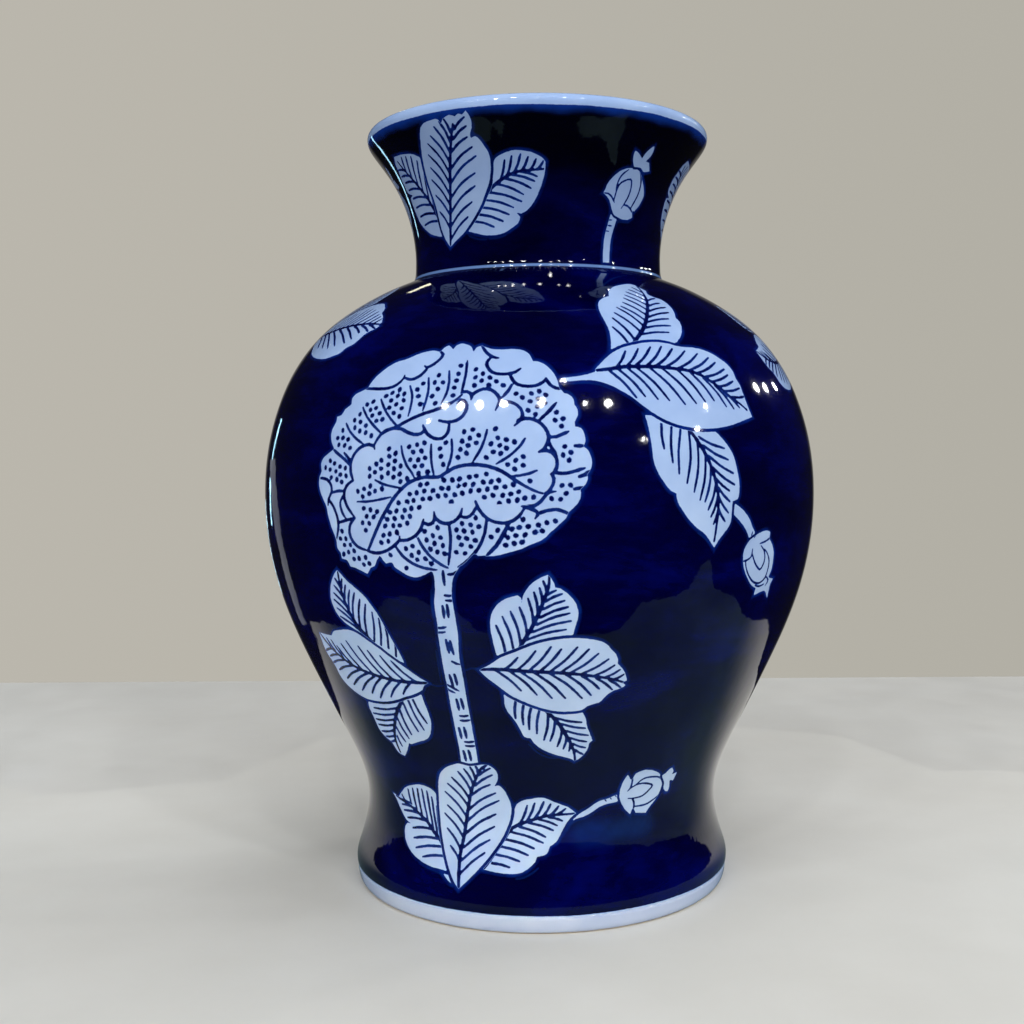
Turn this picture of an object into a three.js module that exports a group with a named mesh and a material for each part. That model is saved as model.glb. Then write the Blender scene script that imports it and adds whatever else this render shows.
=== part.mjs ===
// A baluster vase with a flared neck, raised from separately formed clay
// sections that are luted together with slip and then fired:
//   foot_ring    turned ring that the vase stands on, with a recessed underside
//   base_disc    flat disc that closes the bottom, inside the foot ring
//   lower_body   spreading foot, waist and rising wall, up to the belly seam
//   upper_body   belly and shoulder, from the belly seam to the neck joint
//   neck         flared collar with a rounded lip
// The sections meet face to face on flat horizontal joints.
// Units are millimetres, +Z is up, and the origin is the centre of the
// standing face, on the axis of the vase.

import * as THREE from 'three';

// ---------------------------------------------------------------- dimensions
const HEIGHT = 250.0;            // overall height, standing face to lip
const SEGMENTS = 72;             // facets round the axis, a multiple of 4

const Z_FOOT_JOINT = 5.6;        // foot ring to lower body
const Z_RECESS = 4.0;            // underside of the base disc above the floor
const Z_FLOOR = 10.0;            // inside floor of the vase
const Z_BELLY_SEAM = 130.4;      // lower body to upper body
const Z_NECK_JOINT = 201.0;      // upper body to neck

const R_DISC = 53.0;             // base disc, where it meets the foot ring and wall
const R_STAND_IN = 54.6;         // standing face, inner edge
const R_STAND_OUT = 61.4;        // standing face, outer edge

const WALL = 4.6;                // wall thickness of the body
const WALL_NECK = 4.4;           // wall thickness of the neck

// ------------------------------------------------------------ outer profiles
// [z, r] stations on the outside of each section, from the bottom up.
const FOOT_OUT = [
  [0.0, R_STAND_OUT], [0.7, 62.4], [2.2, 63.0], [Z_FOOT_JOINT, 63.35],
];

const LOWER_OUT = [
  [Z_FOOT_JOINT, 63.35], [7.4, 63.6], [9.6, 63.3], [13.0, 62.2], [18.0, 60.6],
  [23.2, 59.36], [28.4, 58.95], [33.6, 59.4], [39.2, 60.95], [45.4, 63.5],
  [52.6, 67.04], [60.4, 70.92], [69.2, 75.18], [78.4, 79.5], [88.2, 83.78],
  [98.6, 87.48], [109.2, 90.18], [120.0, 91.74], [Z_BELLY_SEAM, 92.16],
];

const UPPER_OUT = [
  [Z_BELLY_SEAM, 92.16], [139.0, 91.78], [146.6, 90.72], [153.8, 89.08],
  [160.6, 86.86], [167.2, 84.16], [173.2, 80.72], [178.8, 76.72],
  [183.8, 71.98], [188.2, 66.56], [191.8, 61.1], [194.9, 55.7],
  [197.5, 50.5], [199.5, 45.6], [Z_NECK_JOINT, 42.1],
];

const NECK_OUT = [
  [Z_NECK_JOINT, 41.8], [203.2, 41.5], [208.3, 41.27], [213.4, 41.52],
  [218.6, 42.42], [223.7, 43.82], [228.4, 45.56], [233.1, 47.78],
  [237.4, 50.42], [240.8, 52.95], [243.9, 55.3], [245.9, 56.55],
  [247.3, 57.0], [248.6, 56.86], [249.6, 56.1], [HEIGHT, 54.9],
];

// ------------------------------------------------------------ inner profiles
// [z, r] stations on the inside of each section, from the bottom up.
const LOWER_IN = [
  [Z_FOOT_JOINT, R_DISC], [Z_FLOOR, R_DISC], [18.0, 55.6], [28.4, 54.35],
  [39.2, 56.2], [52.6, 62.2], [69.2, 70.4], [88.2, 78.9],
  [109.2, 85.5], [Z_BELLY_SEAM, 92.16 - WALL],
];

const UPPER_IN = [
  [Z_BELLY_SEAM, 92.16 - WALL], [145.5, 86.2], [159.0, 82.5], [171.0, 76.4],
  [180.4, 68.9], [188.0, 59.4], [193.4, 49.6], [196.8, 41.8],
  [Z_NECK_JOINT, 41.8 - WALL_NECK],
];

const NECK_IN = [
  [Z_NECK_JOINT, 41.8 - WALL_NECK], [208.3, 36.85], [216.0, 37.5],
  [224.0, 39.5], [231.6, 42.6], [238.4, 46.9], [243.6, 50.9],
  [247.4, 53.1], [249.3, 53.9],
];

// -------------------------------------------------------------- construction
// A closed ring: up the outside, across the top, down the inside and back
// along the bottom. The profile closes on itself.
function ringGeometry(outer, inner) {
  const pts = [];
  for (const [z, r] of outer) pts.push(new THREE.Vector2(r, z));
  for (const [z, r] of [...inner].reverse()) pts.push(new THREE.Vector2(r, z));
  pts.push(new THREE.Vector2(outer[0][1], outer[0][0]));
  return turned(pts);
}

// A solid of revolution about the vase's axis. LatheGeometry turns about +Y,
// so the result is stood up on +Z.
function turned(pts) {
  const g = new THREE.LatheGeometry(pts, SEGMENTS);
  g.rotateX(Math.PI / 2);
  return g;
}

function section(name, geometry, material) {
  const mesh = new THREE.Mesh(geometry, material);
  mesh.name = name;
  return mesh;
}

const cobaltGlaze = () => new THREE.MeshStandardMaterial({
  color: new THREE.Color(0.012, 0.014, 0.16), roughness: 0.08, metalness: 0.0,
});
const whiteGlaze = () => new THREE.MeshStandardMaterial({
  color: new THREE.Color(0.78, 0.82, 0.88), roughness: 0.14, metalness: 0.0,
});

// ------------------------------------------------------------------ sections
const vase = new THREE.Group();

// Foot ring: standing face, rounded outer edge, bevelled inside.
vase.add(section('foot_ring', ringGeometry(
  FOOT_OUT,
  [[0.0, R_STAND_IN], [0.9, 53.6], [Z_RECESS, R_DISC], [Z_FOOT_JOINT, R_DISC]],
), whiteGlaze()));

// Base disc: sits in the bottom of the wall and the foot ring.
vase.add(section('base_disc', turned([
  new THREE.Vector2(0, Z_RECESS),
  new THREE.Vector2(R_DISC, Z_RECESS),
  new THREE.Vector2(R_DISC, Z_FOOT_JOINT),
  new THREE.Vector2(R_DISC, Z_FLOOR),
  new THREE.Vector2(0, Z_FLOOR),
]), whiteGlaze()));

vase.add(section('lower_body', ringGeometry(LOWER_OUT, LOWER_IN), cobaltGlaze()));
vase.add(section('upper_body', ringGeometry(UPPER_OUT, UPPER_IN), cobaltGlaze()));
vase.add(section('neck', ringGeometry(NECK_OUT, NECK_IN), cobaltGlaze()));

export default vase;
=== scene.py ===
# Baluster vase: glazed skin with reserved flowers and leaves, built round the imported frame.
import bpy, math, random
import numpy as np
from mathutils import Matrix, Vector, kdtree
from mathutils.geometry import delaunay_2d_cdt


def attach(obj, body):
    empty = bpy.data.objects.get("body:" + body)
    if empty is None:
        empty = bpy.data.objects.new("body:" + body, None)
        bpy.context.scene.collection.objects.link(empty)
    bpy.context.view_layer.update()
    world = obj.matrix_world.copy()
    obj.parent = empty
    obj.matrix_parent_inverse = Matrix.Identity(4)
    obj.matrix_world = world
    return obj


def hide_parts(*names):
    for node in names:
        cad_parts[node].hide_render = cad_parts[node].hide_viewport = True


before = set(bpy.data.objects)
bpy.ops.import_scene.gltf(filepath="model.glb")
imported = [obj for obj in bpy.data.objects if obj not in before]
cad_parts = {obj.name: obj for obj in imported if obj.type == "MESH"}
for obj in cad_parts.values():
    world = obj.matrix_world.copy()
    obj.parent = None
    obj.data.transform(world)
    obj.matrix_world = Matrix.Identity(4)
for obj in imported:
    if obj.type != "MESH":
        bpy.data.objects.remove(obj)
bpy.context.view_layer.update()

rng = random.Random(20)

# ------------------------------------------------------------------ profiles (mm)
Z_FOOT, Z_BELLY, Z_NECK = 5.6, 130.4, 201.0
BODY = [(5.6, 63.35), (7.4, 63.6), (9.6, 63.3), (13.0, 62.2), (18.0, 60.6), (23.2, 59.36), (28.4, 58.95),
        (33.6, 59.4), (39.2, 60.95), (45.4, 63.5), (52.6, 67.04), (60.4, 70.92), (69.2, 75.18), (78.4, 79.5),
        (88.2, 83.78), (98.6, 87.48), (109.2, 90.18), (120.0, 91.74), (130.4, 92.16), (139.0, 91.78),
        (146.6, 90.72), (153.8, 89.08), (160.6, 86.86), (167.2, 84.16), (173.2, 80.72), (178.8, 76.72),
        (183.8, 71.98), (188.2, 66.56), (191.8, 61.1), (194.9, 55.7), (197.5, 50.5), (199.5, 45.6), (200.7, 42.7)]
RIDGE = [(201.0, 42.15), (201.35, 42.02), (201.75, 41.98), (202.15, 41.8), (202.6, 41.6)]
NECK = [(203.4, 41.48), (208.3, 41.27), (213.4, 41.52), (218.6, 42.42), (223.7, 43.82), (228.4, 45.56),
        (233.1, 47.78), (237.4, 50.42), (240.8, 52.95), (243.9, 55.3), (245.9, 56.55), (247.3, 57.0),
        (248.5, 56.92), (249.4, 56.35), (249.9, 55.4), (249.9, 54.4), (249.35, 53.55), (248.3, 53.15), (246.6, 52.45)]
LOWER_IN = [(5.6, 53.0), (10.0, 53.0), (12.0, 53.6), (18.0, 54.9), (28.4, 54.35), (39.2, 56.3), (52.6, 62.4),
            (69.2, 70.6), (88.2, 79.2), (109.2, 85.6), (130.4, 87.56)]
UPPER_IN = [(130.4, 87.56), (145.5, 86.35), (159.0, 82.7), (171.0, 76.8), (180.4, 69.3), (188.0, 60.0),
            (193.4, 50.6), (197.4, 42.6), (201.0, 37.4)]
NECK_IN = [(201.0, 37.4), (208.3, 36.85), (216.0, 37.5), (224.0, 39.5), (231.6, 42.6), (238.4, 46.9),
           (243.6, 50.6), (246.6, 52.45)]


def spline(pts, step=0.25):
    """Natural cubic through the points on their chord length, sampled every step mm."""
    p = np.array(pts, float)
    t = np.r_[0, np.cumsum(np.hypot(*np.diff(p, axis=0).T))]
    n = len(t)
    h = np.diff(t)
    A = np.zeros((n, n))
    A[0, 0] = A[-1, -1] = 1
    rhs = np.zeros((n, 2))
    for i in range(1, n - 1):
        A[i, i - 1], A[i, i], A[i, i + 1] = h[i - 1], 2 * (h[i - 1] + h[i]), h[i]
        rhs[i] = 6 * ((p[i + 1] - p[i]) / h[i] - (p[i] - p[i - 1]) / h[i - 1])
    m = np.linalg.solve(A, rhs)
    q = np.linspace(0, t[-1], max(8, int(round(t[-1] / step)) + 1))
    k = np.clip(np.searchsorted(t, q, side="right") - 1, 0, n - 2)
    a, b, hh = (t[k + 1] - q)[:, None], (q - t[k])[:, None], h[k][:, None]
    return (m[k] * a ** 3 + m[k + 1] * b ** 3) / (6 * hh) + (p[k] / hh - m[k] * hh / 6) * a + (p[k + 1] / hh - m[k + 1] * hh / 6) * b


def smooth(p, sigma_mm, step=0.25):
    """Gaussian smoothing along a sampled curve; sigma may vary along it, and the ends stay put."""
    n = len(p)
    s = np.broadcast_to(np.asarray(sigma_mm, float) / step, (n,))
    out = p.copy()
    for i in range(n):
        w = min(3 * s[i], i, n - 1 - i)
        w = int(w)
        if w < 1:
            continue
        k = np.exp(-0.5 * (np.arange(-w, w + 1) / max(s[i], 1e-6)) ** 2)
        out[i] = (p[i - w:i + w + 1] * (k / k.sum())[:, None]).sum(0)
    return out


body = spline(BODY)
body = smooth(body, np.interp(body[:, 0], [5.6, 12, 20, 190, 197, 200.7], [0.6, 1.2, 4.5, 4.5, 2.0, 0.3]))
neck = spline(NECK)
neck = smooth(neck, np.interp(np.arange(len(neck)) * 0.25, [0, 5, 38, 46, 200], [1.0, 3.0, 3.0, 0.5, 0.35]))
PATH = np.vstack([body, spline([tuple(body[-1])] + RIDGE + [tuple(neck[0])])[1:-1], neck])
S = np.r_[0, np.cumsum(np.hypot(*np.diff(PATH, axis=0).T))]
S_END = S[-1]
i_top = int(np.argmax(PATH[:, 0]))


def s_of_z(z):
    return float(np.interp(z, PATH[:i_top + 1, 0], S[:i_top + 1]))


def r_of_s(s):
    return np.interp(s, S, PATH[:, 1])


def z_of_s(s):
    return np.interp(s, S, PATH[:, 0])


_t = np.gradient(PATH, S, axis=0)
_t /= np.hypot(_t[:, 0], _t[:, 1])[:, None]
S_BELLY, S_NECK = s_of_z(Z_BELLY), s_of_z(Z_NECK)
S_LIP = s_of_z(246.3)

# --------------------------------------------------------------- decoration data
# Outlines and brush strokes as (angle in degrees from the front, height in mm);
# a third value of 1 marks a sharp corner.
# leaf: group, layer, outline, midrib, side veins (two points each)
LEAF = {
    "base_c": ("base", 2, [(-23.88, 12.28, 1), (-25.97, 14.50), (-27.82, 17.60), (-29.90, 22.50), (-31.30, 28.35), (-31.41, 34.77), (-30.67, 39.93), (-29.66, 44.20), (-28.22, 47.53), (-26.01, 49.93), (-23.61, 51.28), (-21.44, 52.06), (-18.49, 51.53), (-14.59, 52.40), (-12.82, 51.84), (-11.68, 50.38), (-11.37, 48.33), (-12.02, 46.22), (-12.86, 44.96, 1), (-11.43, 45.39), (-10.18, 43.93), (-9.25, 41.59), (-8.59, 39.21), (-8.58, 36.57), (-9.34, 33.23), (-10.77, 29.71), (-12.29, 26.86), (-14.37, 23.73), (-16.63, 20.67), (-19.14, 17.58), (-21.58, 14.81)],
        [(-23.96, 12.83), (-24.49, 17.51), (-24.43, 22.69), (-23.46, 27.63), (-22.43, 32.79), (-21.47, 36.86), (-20.22, 41.04), (-18.89, 44.60), (-17.12, 48.23), (-15.25, 51.49)],
        [((-24.86, 20.62), (-27.92, 24.15)), ((-24.50, 23.57), (-29.07, 29.35)), ((-23.61, 27.16), (-29.58, 34.07)), ((-22.87, 30.52), (-28.18, 36.96)), ((-22.35, 33.92), (-28.03, 41.55)), ((-21.38, 37.53), (-26.50, 44.51)), ((-20.57, 39.97), (-24.68, 46.84)), ((-19.71, 42.64), (-22.34, 49.21)), ((-18.66, 45.14), (-20.39, 50.30)), ((-17.76, 46.96), (-18.55, 51.18)), ((-16.70, 49.13), (-17.00, 51.85)), ((-24.01, 16.45), (-16.81, 23.37)), ((-23.71, 20.62), (-15.34, 27.39)), ((-23.20, 24.49), (-13.87, 31.55)), ((-22.63, 28.80), (-13.19, 35.64)), ((-21.88, 32.85), (-11.93, 40.23)), ((-20.92, 36.75), (-12.67, 42.75)), ((-19.46, 41.64), (-13.90, 45.56)), ((-18.12, 44.85), (-12.92, 48.92)), ((-16.53, 48.46), (-13.17, 51.20)), ((-15.22, 50.81), (-13.80, 52.46))]),
    "base_l": ("base", 1, [(-51.31, 36.89, 1), (-48.49, 35.86, 1), (-45.50, 38.56), (-43.41, 40.22), (-40.26, 41.58), (-36.77, 42.44), (-33.91, 42.12), (-32.09, 41.06), (-31.24, 39.14), (-30.81, 34.20), (-29.32, 24.09), (-27.30, 16.55, 1), (-30.79, 16.85), (-34.46, 17.06), (-38.59, 18.00), (-42.34, 19.60), (-45.24, 21.97), (-46.41, 24.49), (-46.34, 26.71), (-45.22, 28.05), (-43.56, 28.09, 1), (-45.90, 29.03), (-47.67, 30.91), (-48.97, 32.90), (-49.90, 35.03)],
        [(-29.13, 22.04), (-31.54, 25.26), (-34.27, 27.55), (-36.52, 30.15), (-39.63, 32.13), (-42.89, 33.91), (-46.28, 35.02), (-49.51, 35.97)],
        [((-29.48, 20.82), (-37.63, 19.23)), ((-30.55, 23.43), (-40.77, 21.34)), ((-31.92, 25.59), (-42.13, 24.02)), ((-34.49, 28.13), (-42.79, 27.01)), ((-36.70, 30.35), (-45.08, 29.77)), ((-39.21, 32.12), (-46.53, 31.88)), ((-41.20, 33.59), (-47.29, 33.67)), ((-43.43, 35.04), (-48.21, 35.25)), ((-45.56, 35.69), (-46.42, 37.35)), ((-31.33, 24.68), (-32.26, 35.97)), ((-32.71, 26.59), (-33.48, 38.76)), ((-34.30, 28.16), (-34.78, 40.58)), ((-36.30, 30.36), (-36.54, 40.94)), ((-38.57, 32.18), (-38.36, 40.76)), ((-40.51, 33.74), (-40.36, 40.52)), ((-42.60, 34.82), (-42.54, 39.72))]),
    "base_r": ("base", 1, [(9.93, 36.03, 1), (7.53, 38.16), (5.22, 39.25), (2.95, 40.36), (1.00, 41.42), (-0.93, 41.61), (-2.88, 41.09), (-4.83, 40.71), (-6.88, 39.28), (-7.68, 37.27), (-8.22, 35.26), (-8.91, 32.63), (-11.09, 27.53), (-17.40, 18.60, 1), (-14.96, 18.25), (-11.99, 17.90), (-8.50, 17.81), (-5.65, 18.33), (-3.38, 19.93), (-1.95, 21.36), (-1.38, 22.91, 1), (0.07, 23.19), (1.53, 23.77), (2.42, 25.99, 1), (4.19, 27.13), (5.37, 29.22), (6.25, 31.07), (7.40, 33.21), (8.53, 34.79)],
        [(-16.81, 18.94), (-13.76, 23.77), (-11.09, 27.83), (-8.95, 31.06), (-6.27, 32.72), (-3.34, 33.90), (-0.43, 34.91), (2.43, 35.60), (9.35, 35.97)],
        [((-14.50, 20.56), (-9.29, 19.66)), ((-13.14, 23.07), (-6.44, 21.47)), ((-11.67, 25.56), (-3.99, 23.32)), ((-10.34, 27.78), (-2.24, 25.34)), ((-8.67, 30.13), (0.39, 27.00)), ((-6.28, 31.88), (1.13, 28.80)), ((-3.64, 33.19), (3.32, 30.80)), ((-0.44, 34.24), (4.49, 32.30)), ((2.15, 35.04), (5.94, 33.76)), ((-6.57, 32.31), (-3.98, 38.92)), ((-4.21, 33.82), (-1.88, 39.72)), ((-1.87, 34.74), (0.64, 40.16)), ((0.43, 35.30), (2.54, 39.34)), ((2.58, 35.76), (4.81, 38.60)), ((4.72, 36.03), (6.83, 37.70))]),
    "mr_t": ("mr", 1, [(-8.22, 86.75, 1), (-8.71, 90.04), (-9.02, 93.30), (-9.20, 96.24), (-8.98, 99.16), (-8.28, 101.47), (-7.32, 103.20), (-6.21, 104.35), (-5.13, 104.93), (-3.89, 105.36), (-3.37, 104.65), (-3.31, 102.95, 1), (-3.01, 105.22), (-2.28, 107.20), (-1.22, 109.03), (-0.00, 110.27), (1.38, 111.22, 1), (1.90, 110.24), (2.42, 108.84), (2.60, 107.57, 1), (3.47, 107.27), (4.72, 105.97), (5.81, 104.24), (6.56, 102.22), (6.87, 100.21), (6.74, 98.20), (6.35, 95.88), (6.05, 93.54, 1), (3.66, 91.54), (-1.99, 88.95)],
        [(-3.85, 90.43), (-2.47, 93.69), (-1.33, 96.77), (-0.40, 99.80), (0.50, 103.21), (1.03, 105.48), (1.55, 108.01), (1.60, 110.80)],
        [((-6.61, 87.70), (-8.10, 96.70)), ((-5.03, 88.78), (-6.84, 99.29)), ((-3.65, 90.88), (-5.32, 100.80)), ((-2.42, 93.69), (-3.68, 102.01)), ((-1.27, 96.77), (-2.14, 104.51)), ((-0.44, 99.66), (-1.07, 106.26)), ((0.38, 103.07), (-0.10, 107.47)), ((1.17, 106.18), (0.56, 109.35)), ((-2.49, 92.57), (4.70, 95.49)), ((-1.35, 94.86), (5.56, 97.95)), ((-0.51, 97.05), (5.28, 100.18)), ((0.13, 99.16), (4.95, 101.99)), ((0.68, 101.50), (4.27, 103.77)), ((1.12, 103.77), (3.84, 105.71)), ((1.47, 105.67), (2.78, 106.72))]),
    "mr_m": ("mr", 2, [(-12.27, 83.22, 1), (-11.19, 84.04), (-9.91, 85.02), (-8.01, 86.91), (-6.40, 88.01), (-4.84, 88.93), (-2.91, 90.14), (-0.83, 91.32), (1.41, 92.18), (3.64, 92.73), (6.07, 92.95), (8.33, 92.71), (10.45, 92.16), (12.05, 91.32), (13.10, 90.22, 1), (13.78, 88.97), (14.69, 87.70), (15.25, 86.14), (15.35, 84.75, 1), (16.14, 83.61), (16.92, 82.31), (17.54, 80.70), (17.93, 79.26, 1), (17.01, 78.73, 1), (17.91, 77.70, 1), (16.69, 76.87), (15.43, 76.35), (14.23, 75.35, 1), (13.28, 73.84), (12.50, 72.79), (11.01, 72.26), (9.95, 71.69), (8.93, 70.63), (6.32, 70.28), (3.71, 70.38), (0.89, 71.24), (-1.87, 72.54), (-4.37, 74.11), (-6.40, 75.65), (-7.96, 77.50), (-9.50, 79.32), (-11.01, 81.12)],
        [(-11.85, 83.40), (-8.01, 83.55), (-4.06, 83.16), (-0.12, 82.86), (3.84, 82.48), (7.86, 81.86), (12.01, 80.84), (15.05, 79.83), (17.81, 78.49)],
        [((-6.90, 83.82), (-4.41, 87.22)), ((-4.44, 83.62), (-0.94, 89.24)), ((-2.08, 83.48), (1.98, 90.40)), ((0.08, 83.32), (3.94, 89.67)), ((2.05, 83.13), (7.00, 90.16)), ((4.22, 82.93), (9.24, 89.46)), ((6.22, 82.70), (11.17, 88.04)), ((8.45, 82.20), (13.31, 86.19)), ((11.14, 81.52), (14.72, 84.25)), ((13.27, 80.75), (16.01, 82.79)), ((15.25, 79.97), (17.04, 81.27)), ((-8.64, 82.97), (-4.05, 77.05)), ((-6.05, 82.98), (-0.78, 75.71)), ((-3.78, 82.71), (2.35, 74.62)), ((-1.11, 82.47), (5.14, 74.54)), ((1.76, 82.31), (8.69, 74.37)), ((5.05, 81.98), (10.56, 75.21)), ((8.40, 81.21), (12.18, 77.09)), ((11.32, 80.42), (15.08, 76.54)), ((14.12, 79.60), (16.76, 77.18))]),
    "mr_b": ("mr", 1, [(-7.77, 77.19, 1), (-7.72, 74.67), (-7.67, 72.12), (-7.13, 70.21), (-6.34, 68.62), (-5.35, 66.37), (-4.54, 64.10), (-3.81, 62.13), (-2.43, 61.82, 1), (-1.65, 60.16), (-0.26, 58.49), (1.66, 57.12), (3.62, 56.06), (5.61, 55.32), (7.12, 54.74), (8.31, 53.82, 1), (9.62, 54.76), (10.73, 56.37), (11.33, 58.01), (11.43, 59.51), (12.19, 60.45, 1), (11.38, 62.66), (10.44, 65.35), (10.03, 67.66), (9.22, 69.65), (8.47, 70.97, 1), (4.09, 72.12), (-2.26, 74.13)],
        [(0.89, 70.92), (2.66, 68.47), (4.27, 65.83), (5.76, 62.65), (7.08, 59.61), (7.98, 56.88), (8.41, 54.16)],
        [((-5.12, 74.73), (-5.59, 68.16)), ((-3.47, 73.80), (-3.94, 66.17)), ((-1.87, 72.69), (-2.64, 64.61)), ((-0.11, 71.73), (-0.91, 63.30)), ((1.55, 69.95), (0.69, 61.14)), ((3.12, 67.49), (2.16, 60.79)), ((4.76, 64.66), (3.85, 58.91)), ((5.90, 62.15), (5.32, 58.02)), ((6.92, 59.62), (6.73, 57.29)), ((3.32, 68.29), (9.09, 66.64)), ((4.71, 66.30), (10.16, 64.62)), ((5.93, 63.96), (11.01, 62.26)), ((6.93, 61.61), (10.76, 60.15)), ((7.68, 59.58), (10.65, 58.12)), ((8.30, 57.54), (10.27, 55.97))]),
    "ml_t": ("ml", 1, [(-40.51, 110.65, 1), (-39.55, 109.42), (-38.47, 107.90), (-36.93, 106.28), (-35.42, 104.66), (-34.19, 103.01), (-33.28, 101.04), (-32.37, 99.06), (-31.61, 96.75), (-30.93, 94.11), (-30.24, 91.47), (-29.54, 88.81), (-29.03, 86.72), (-28.55, 83.98, 1), (-32.98, 85.91), (-37.27, 89.97), (-39.32, 92.91), (-41.75, 94.72), (-43.26, 96.81), (-43.88, 98.87), (-44.17, 101.26), (-43.90, 103.41), (-43.09, 106.22), (-41.72, 109.06)],
        [(-35.18, 89.64), (-36.58, 91.60), (-37.93, 93.86), (-38.95, 96.32), (-39.64, 99.12), (-40.18, 102.06), (-40.42, 105.02), (-40.46, 108.00), (-40.41, 110.07)],
        [((-30.18, 85.96), (-29.51, 92.46)), ((-31.50, 88.43), (-30.94, 95.92)), ((-33.24, 88.97), (-32.08, 97.15)), ((-34.71, 90.16), (-33.43, 98.80)), ((-36.22, 91.64), (-34.69, 101.04)), ((-37.56, 93.91), (-35.86, 102.40)), ((-38.72, 96.66), (-36.96, 104.21)), ((-39.29, 99.47), (-38.09, 104.98)), ((-39.83, 102.40), (-38.97, 106.28)), ((-40.06, 105.66), (-39.61, 108.09)), ((-37.07, 91.84), (-42.58, 96.51)), ((-38.38, 94.26), (-42.91, 99.00)), ((-39.26, 96.74), (-43.16, 101.54)), ((-39.72, 99.41), (-42.79, 103.55)), ((-40.26, 102.35), (-42.26, 105.92)), ((-40.45, 105.17), (-41.59, 108.03))]),
    "ml_m": ("ml", 2, [(-53.01, 89.95, 1), (-50.54, 89.75), (-48.02, 89.71, 1), (-46.47, 91.37), (-44.54, 91.99), (-42.12, 92.51), (-40.06, 92.34), (-38.31, 91.36), (-36.70, 90.05), (-35.12, 88.72), (-33.63, 87.38), (-31.81, 85.44), (-29.76, 83.52), (-27.73, 81.58), (-25.72, 79.62), (-23.84, 78.26, 1), (-25.11, 77.32), (-25.92, 75.79, 1), (-28.17, 74.23), (-31.19, 72.84), (-34.14, 71.42), (-37.19, 70.42), (-40.60, 69.97), (-43.73, 70.03), (-46.36, 70.83), (-48.80, 72.31), (-50.68, 74.22), (-51.60, 76.33), (-51.80, 78.90), (-52.31, 81.07), (-53.05, 82.87), (-53.33, 85.40)],
        [(-24.10, 78.14), (-27.28, 78.02), (-31.14, 77.89), (-34.84, 78.30), (-38.69, 79.06), (-42.12, 80.08), (-45.02, 81.32), (-47.50, 83.12), (-49.96, 85.23), (-51.27, 87.39), (-52.70, 89.68)],
        [((-26.99, 78.21), (-31.88, 84.18)), ((-29.90, 78.15), (-34.44, 85.40)), ((-32.93, 78.21), (-37.53, 86.61)), ((-35.33, 78.55), (-39.96, 87.62)), ((-38.34, 79.22), (-43.32, 88.75)), ((-41.60, 80.33), (-45.46, 87.55)), ((-44.38, 81.60), (-47.38, 86.49)), ((-46.68, 83.27), (-48.85, 88.15)), ((-48.91, 84.94), (-50.49, 88.49)), ((-50.56, 86.40), (-52.17, 88.51)), ((-28.82, 77.34), (-31.39, 73.78)), ((-31.43, 77.30), (-35.36, 72.19)), ((-33.85, 77.59), (-38.90, 71.36)), ((-36.50, 78.04), (-41.14, 72.49)), ((-38.34, 78.32), (-44.47, 72.74)), ((-40.28, 78.95), (-46.99, 74.15)), ((-42.51, 79.69), (-48.67, 75.84)), ((-44.86, 80.65), (-50.63, 78.26)), ((-47.05, 82.08), (-52.24, 80.21)), ((-48.63, 83.55), (-52.30, 82.37)), ((-50.19, 85.19), (-53.10, 84.06))]),
    "ml_b": ("ml", 1, [(-43.56, 70.40, 1), (-44.56, 67.56), (-44.58, 65.23), (-44.55, 62.22), (-44.34, 59.58), (-43.07, 57.47), (-41.43, 56.11), (-41.07, 54.48), (-40.37, 52.74), (-38.50, 51.92, 1), (-36.61, 54.33), (-35.08, 56.99, 1), (-34.16, 56.82), (-31.91, 57.88), (-29.47, 58.94), (-27.96, 60.17), (-26.85, 62.33), (-26.10, 65.40), (-26.12, 68.68), (-26.41, 71.88), (-26.52, 74.76, 1), (-32.14, 74.31), (-38.45, 72.97)],
        [(-32.20, 71.72), (-33.98, 69.16), (-35.96, 66.03), (-37.67, 62.57), (-39.16, 58.93), (-39.73, 55.77), (-39.66, 53.06)],
        [((-29.21, 72.16), (-27.32, 64.81)), ((-30.56, 71.64), (-28.79, 62.38)), ((-32.25, 70.58), (-30.66, 61.60)), ((-34.06, 68.00), (-33.15, 60.19)), ((-35.84, 65.23), (-34.48, 58.62)), ((-37.38, 61.96), (-36.12, 57.31)), ((-38.36, 58.92), (-37.97, 55.44)), ((-34.56, 68.74), (-42.81, 67.34)), ((-35.94, 66.53), (-44.03, 65.34)), ((-37.16, 64.49), (-43.86, 63.37)), ((-37.99, 62.61), (-43.81, 61.60)), ((-38.81, 60.59), (-43.65, 59.38)), ((-39.56, 58.59), (-42.80, 57.76)), ((-39.94, 56.92), (-41.97, 56.17))]),
    "ur_t": ("ur", 1, [(14.40, 172.43, 1), (14.81, 175.08), (15.07, 177.76), (14.91, 180.18), (14.42, 182.97), (14.33, 185.21), (14.85, 187.21), (16.38, 188.78), (18.79, 189.75, 1), (19.83, 191.57), (22.25, 193.16), (25.41, 194.09), (28.88, 194.69), (30.82, 194.46), (31.73, 193.41), (32.59, 192.38, 1), (31.78, 191.06), (33.16, 190.11, 1), (34.73, 189.36), (35.31, 187.70), (34.98, 185.51), (33.82, 183.31, 1), (34.24, 182.07), (33.43, 179.81), (32.03, 177.57), (30.20, 175.65, 1), (24.00, 172.99), (18.35, 172.23)],
        [(19.48, 174.61), (21.11, 176.75), (22.94, 179.08), (24.70, 181.65), (26.41, 184.44), (28.23, 187.19), (29.76, 189.69), (30.78, 192.06), (31.33, 194.12)],
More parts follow.
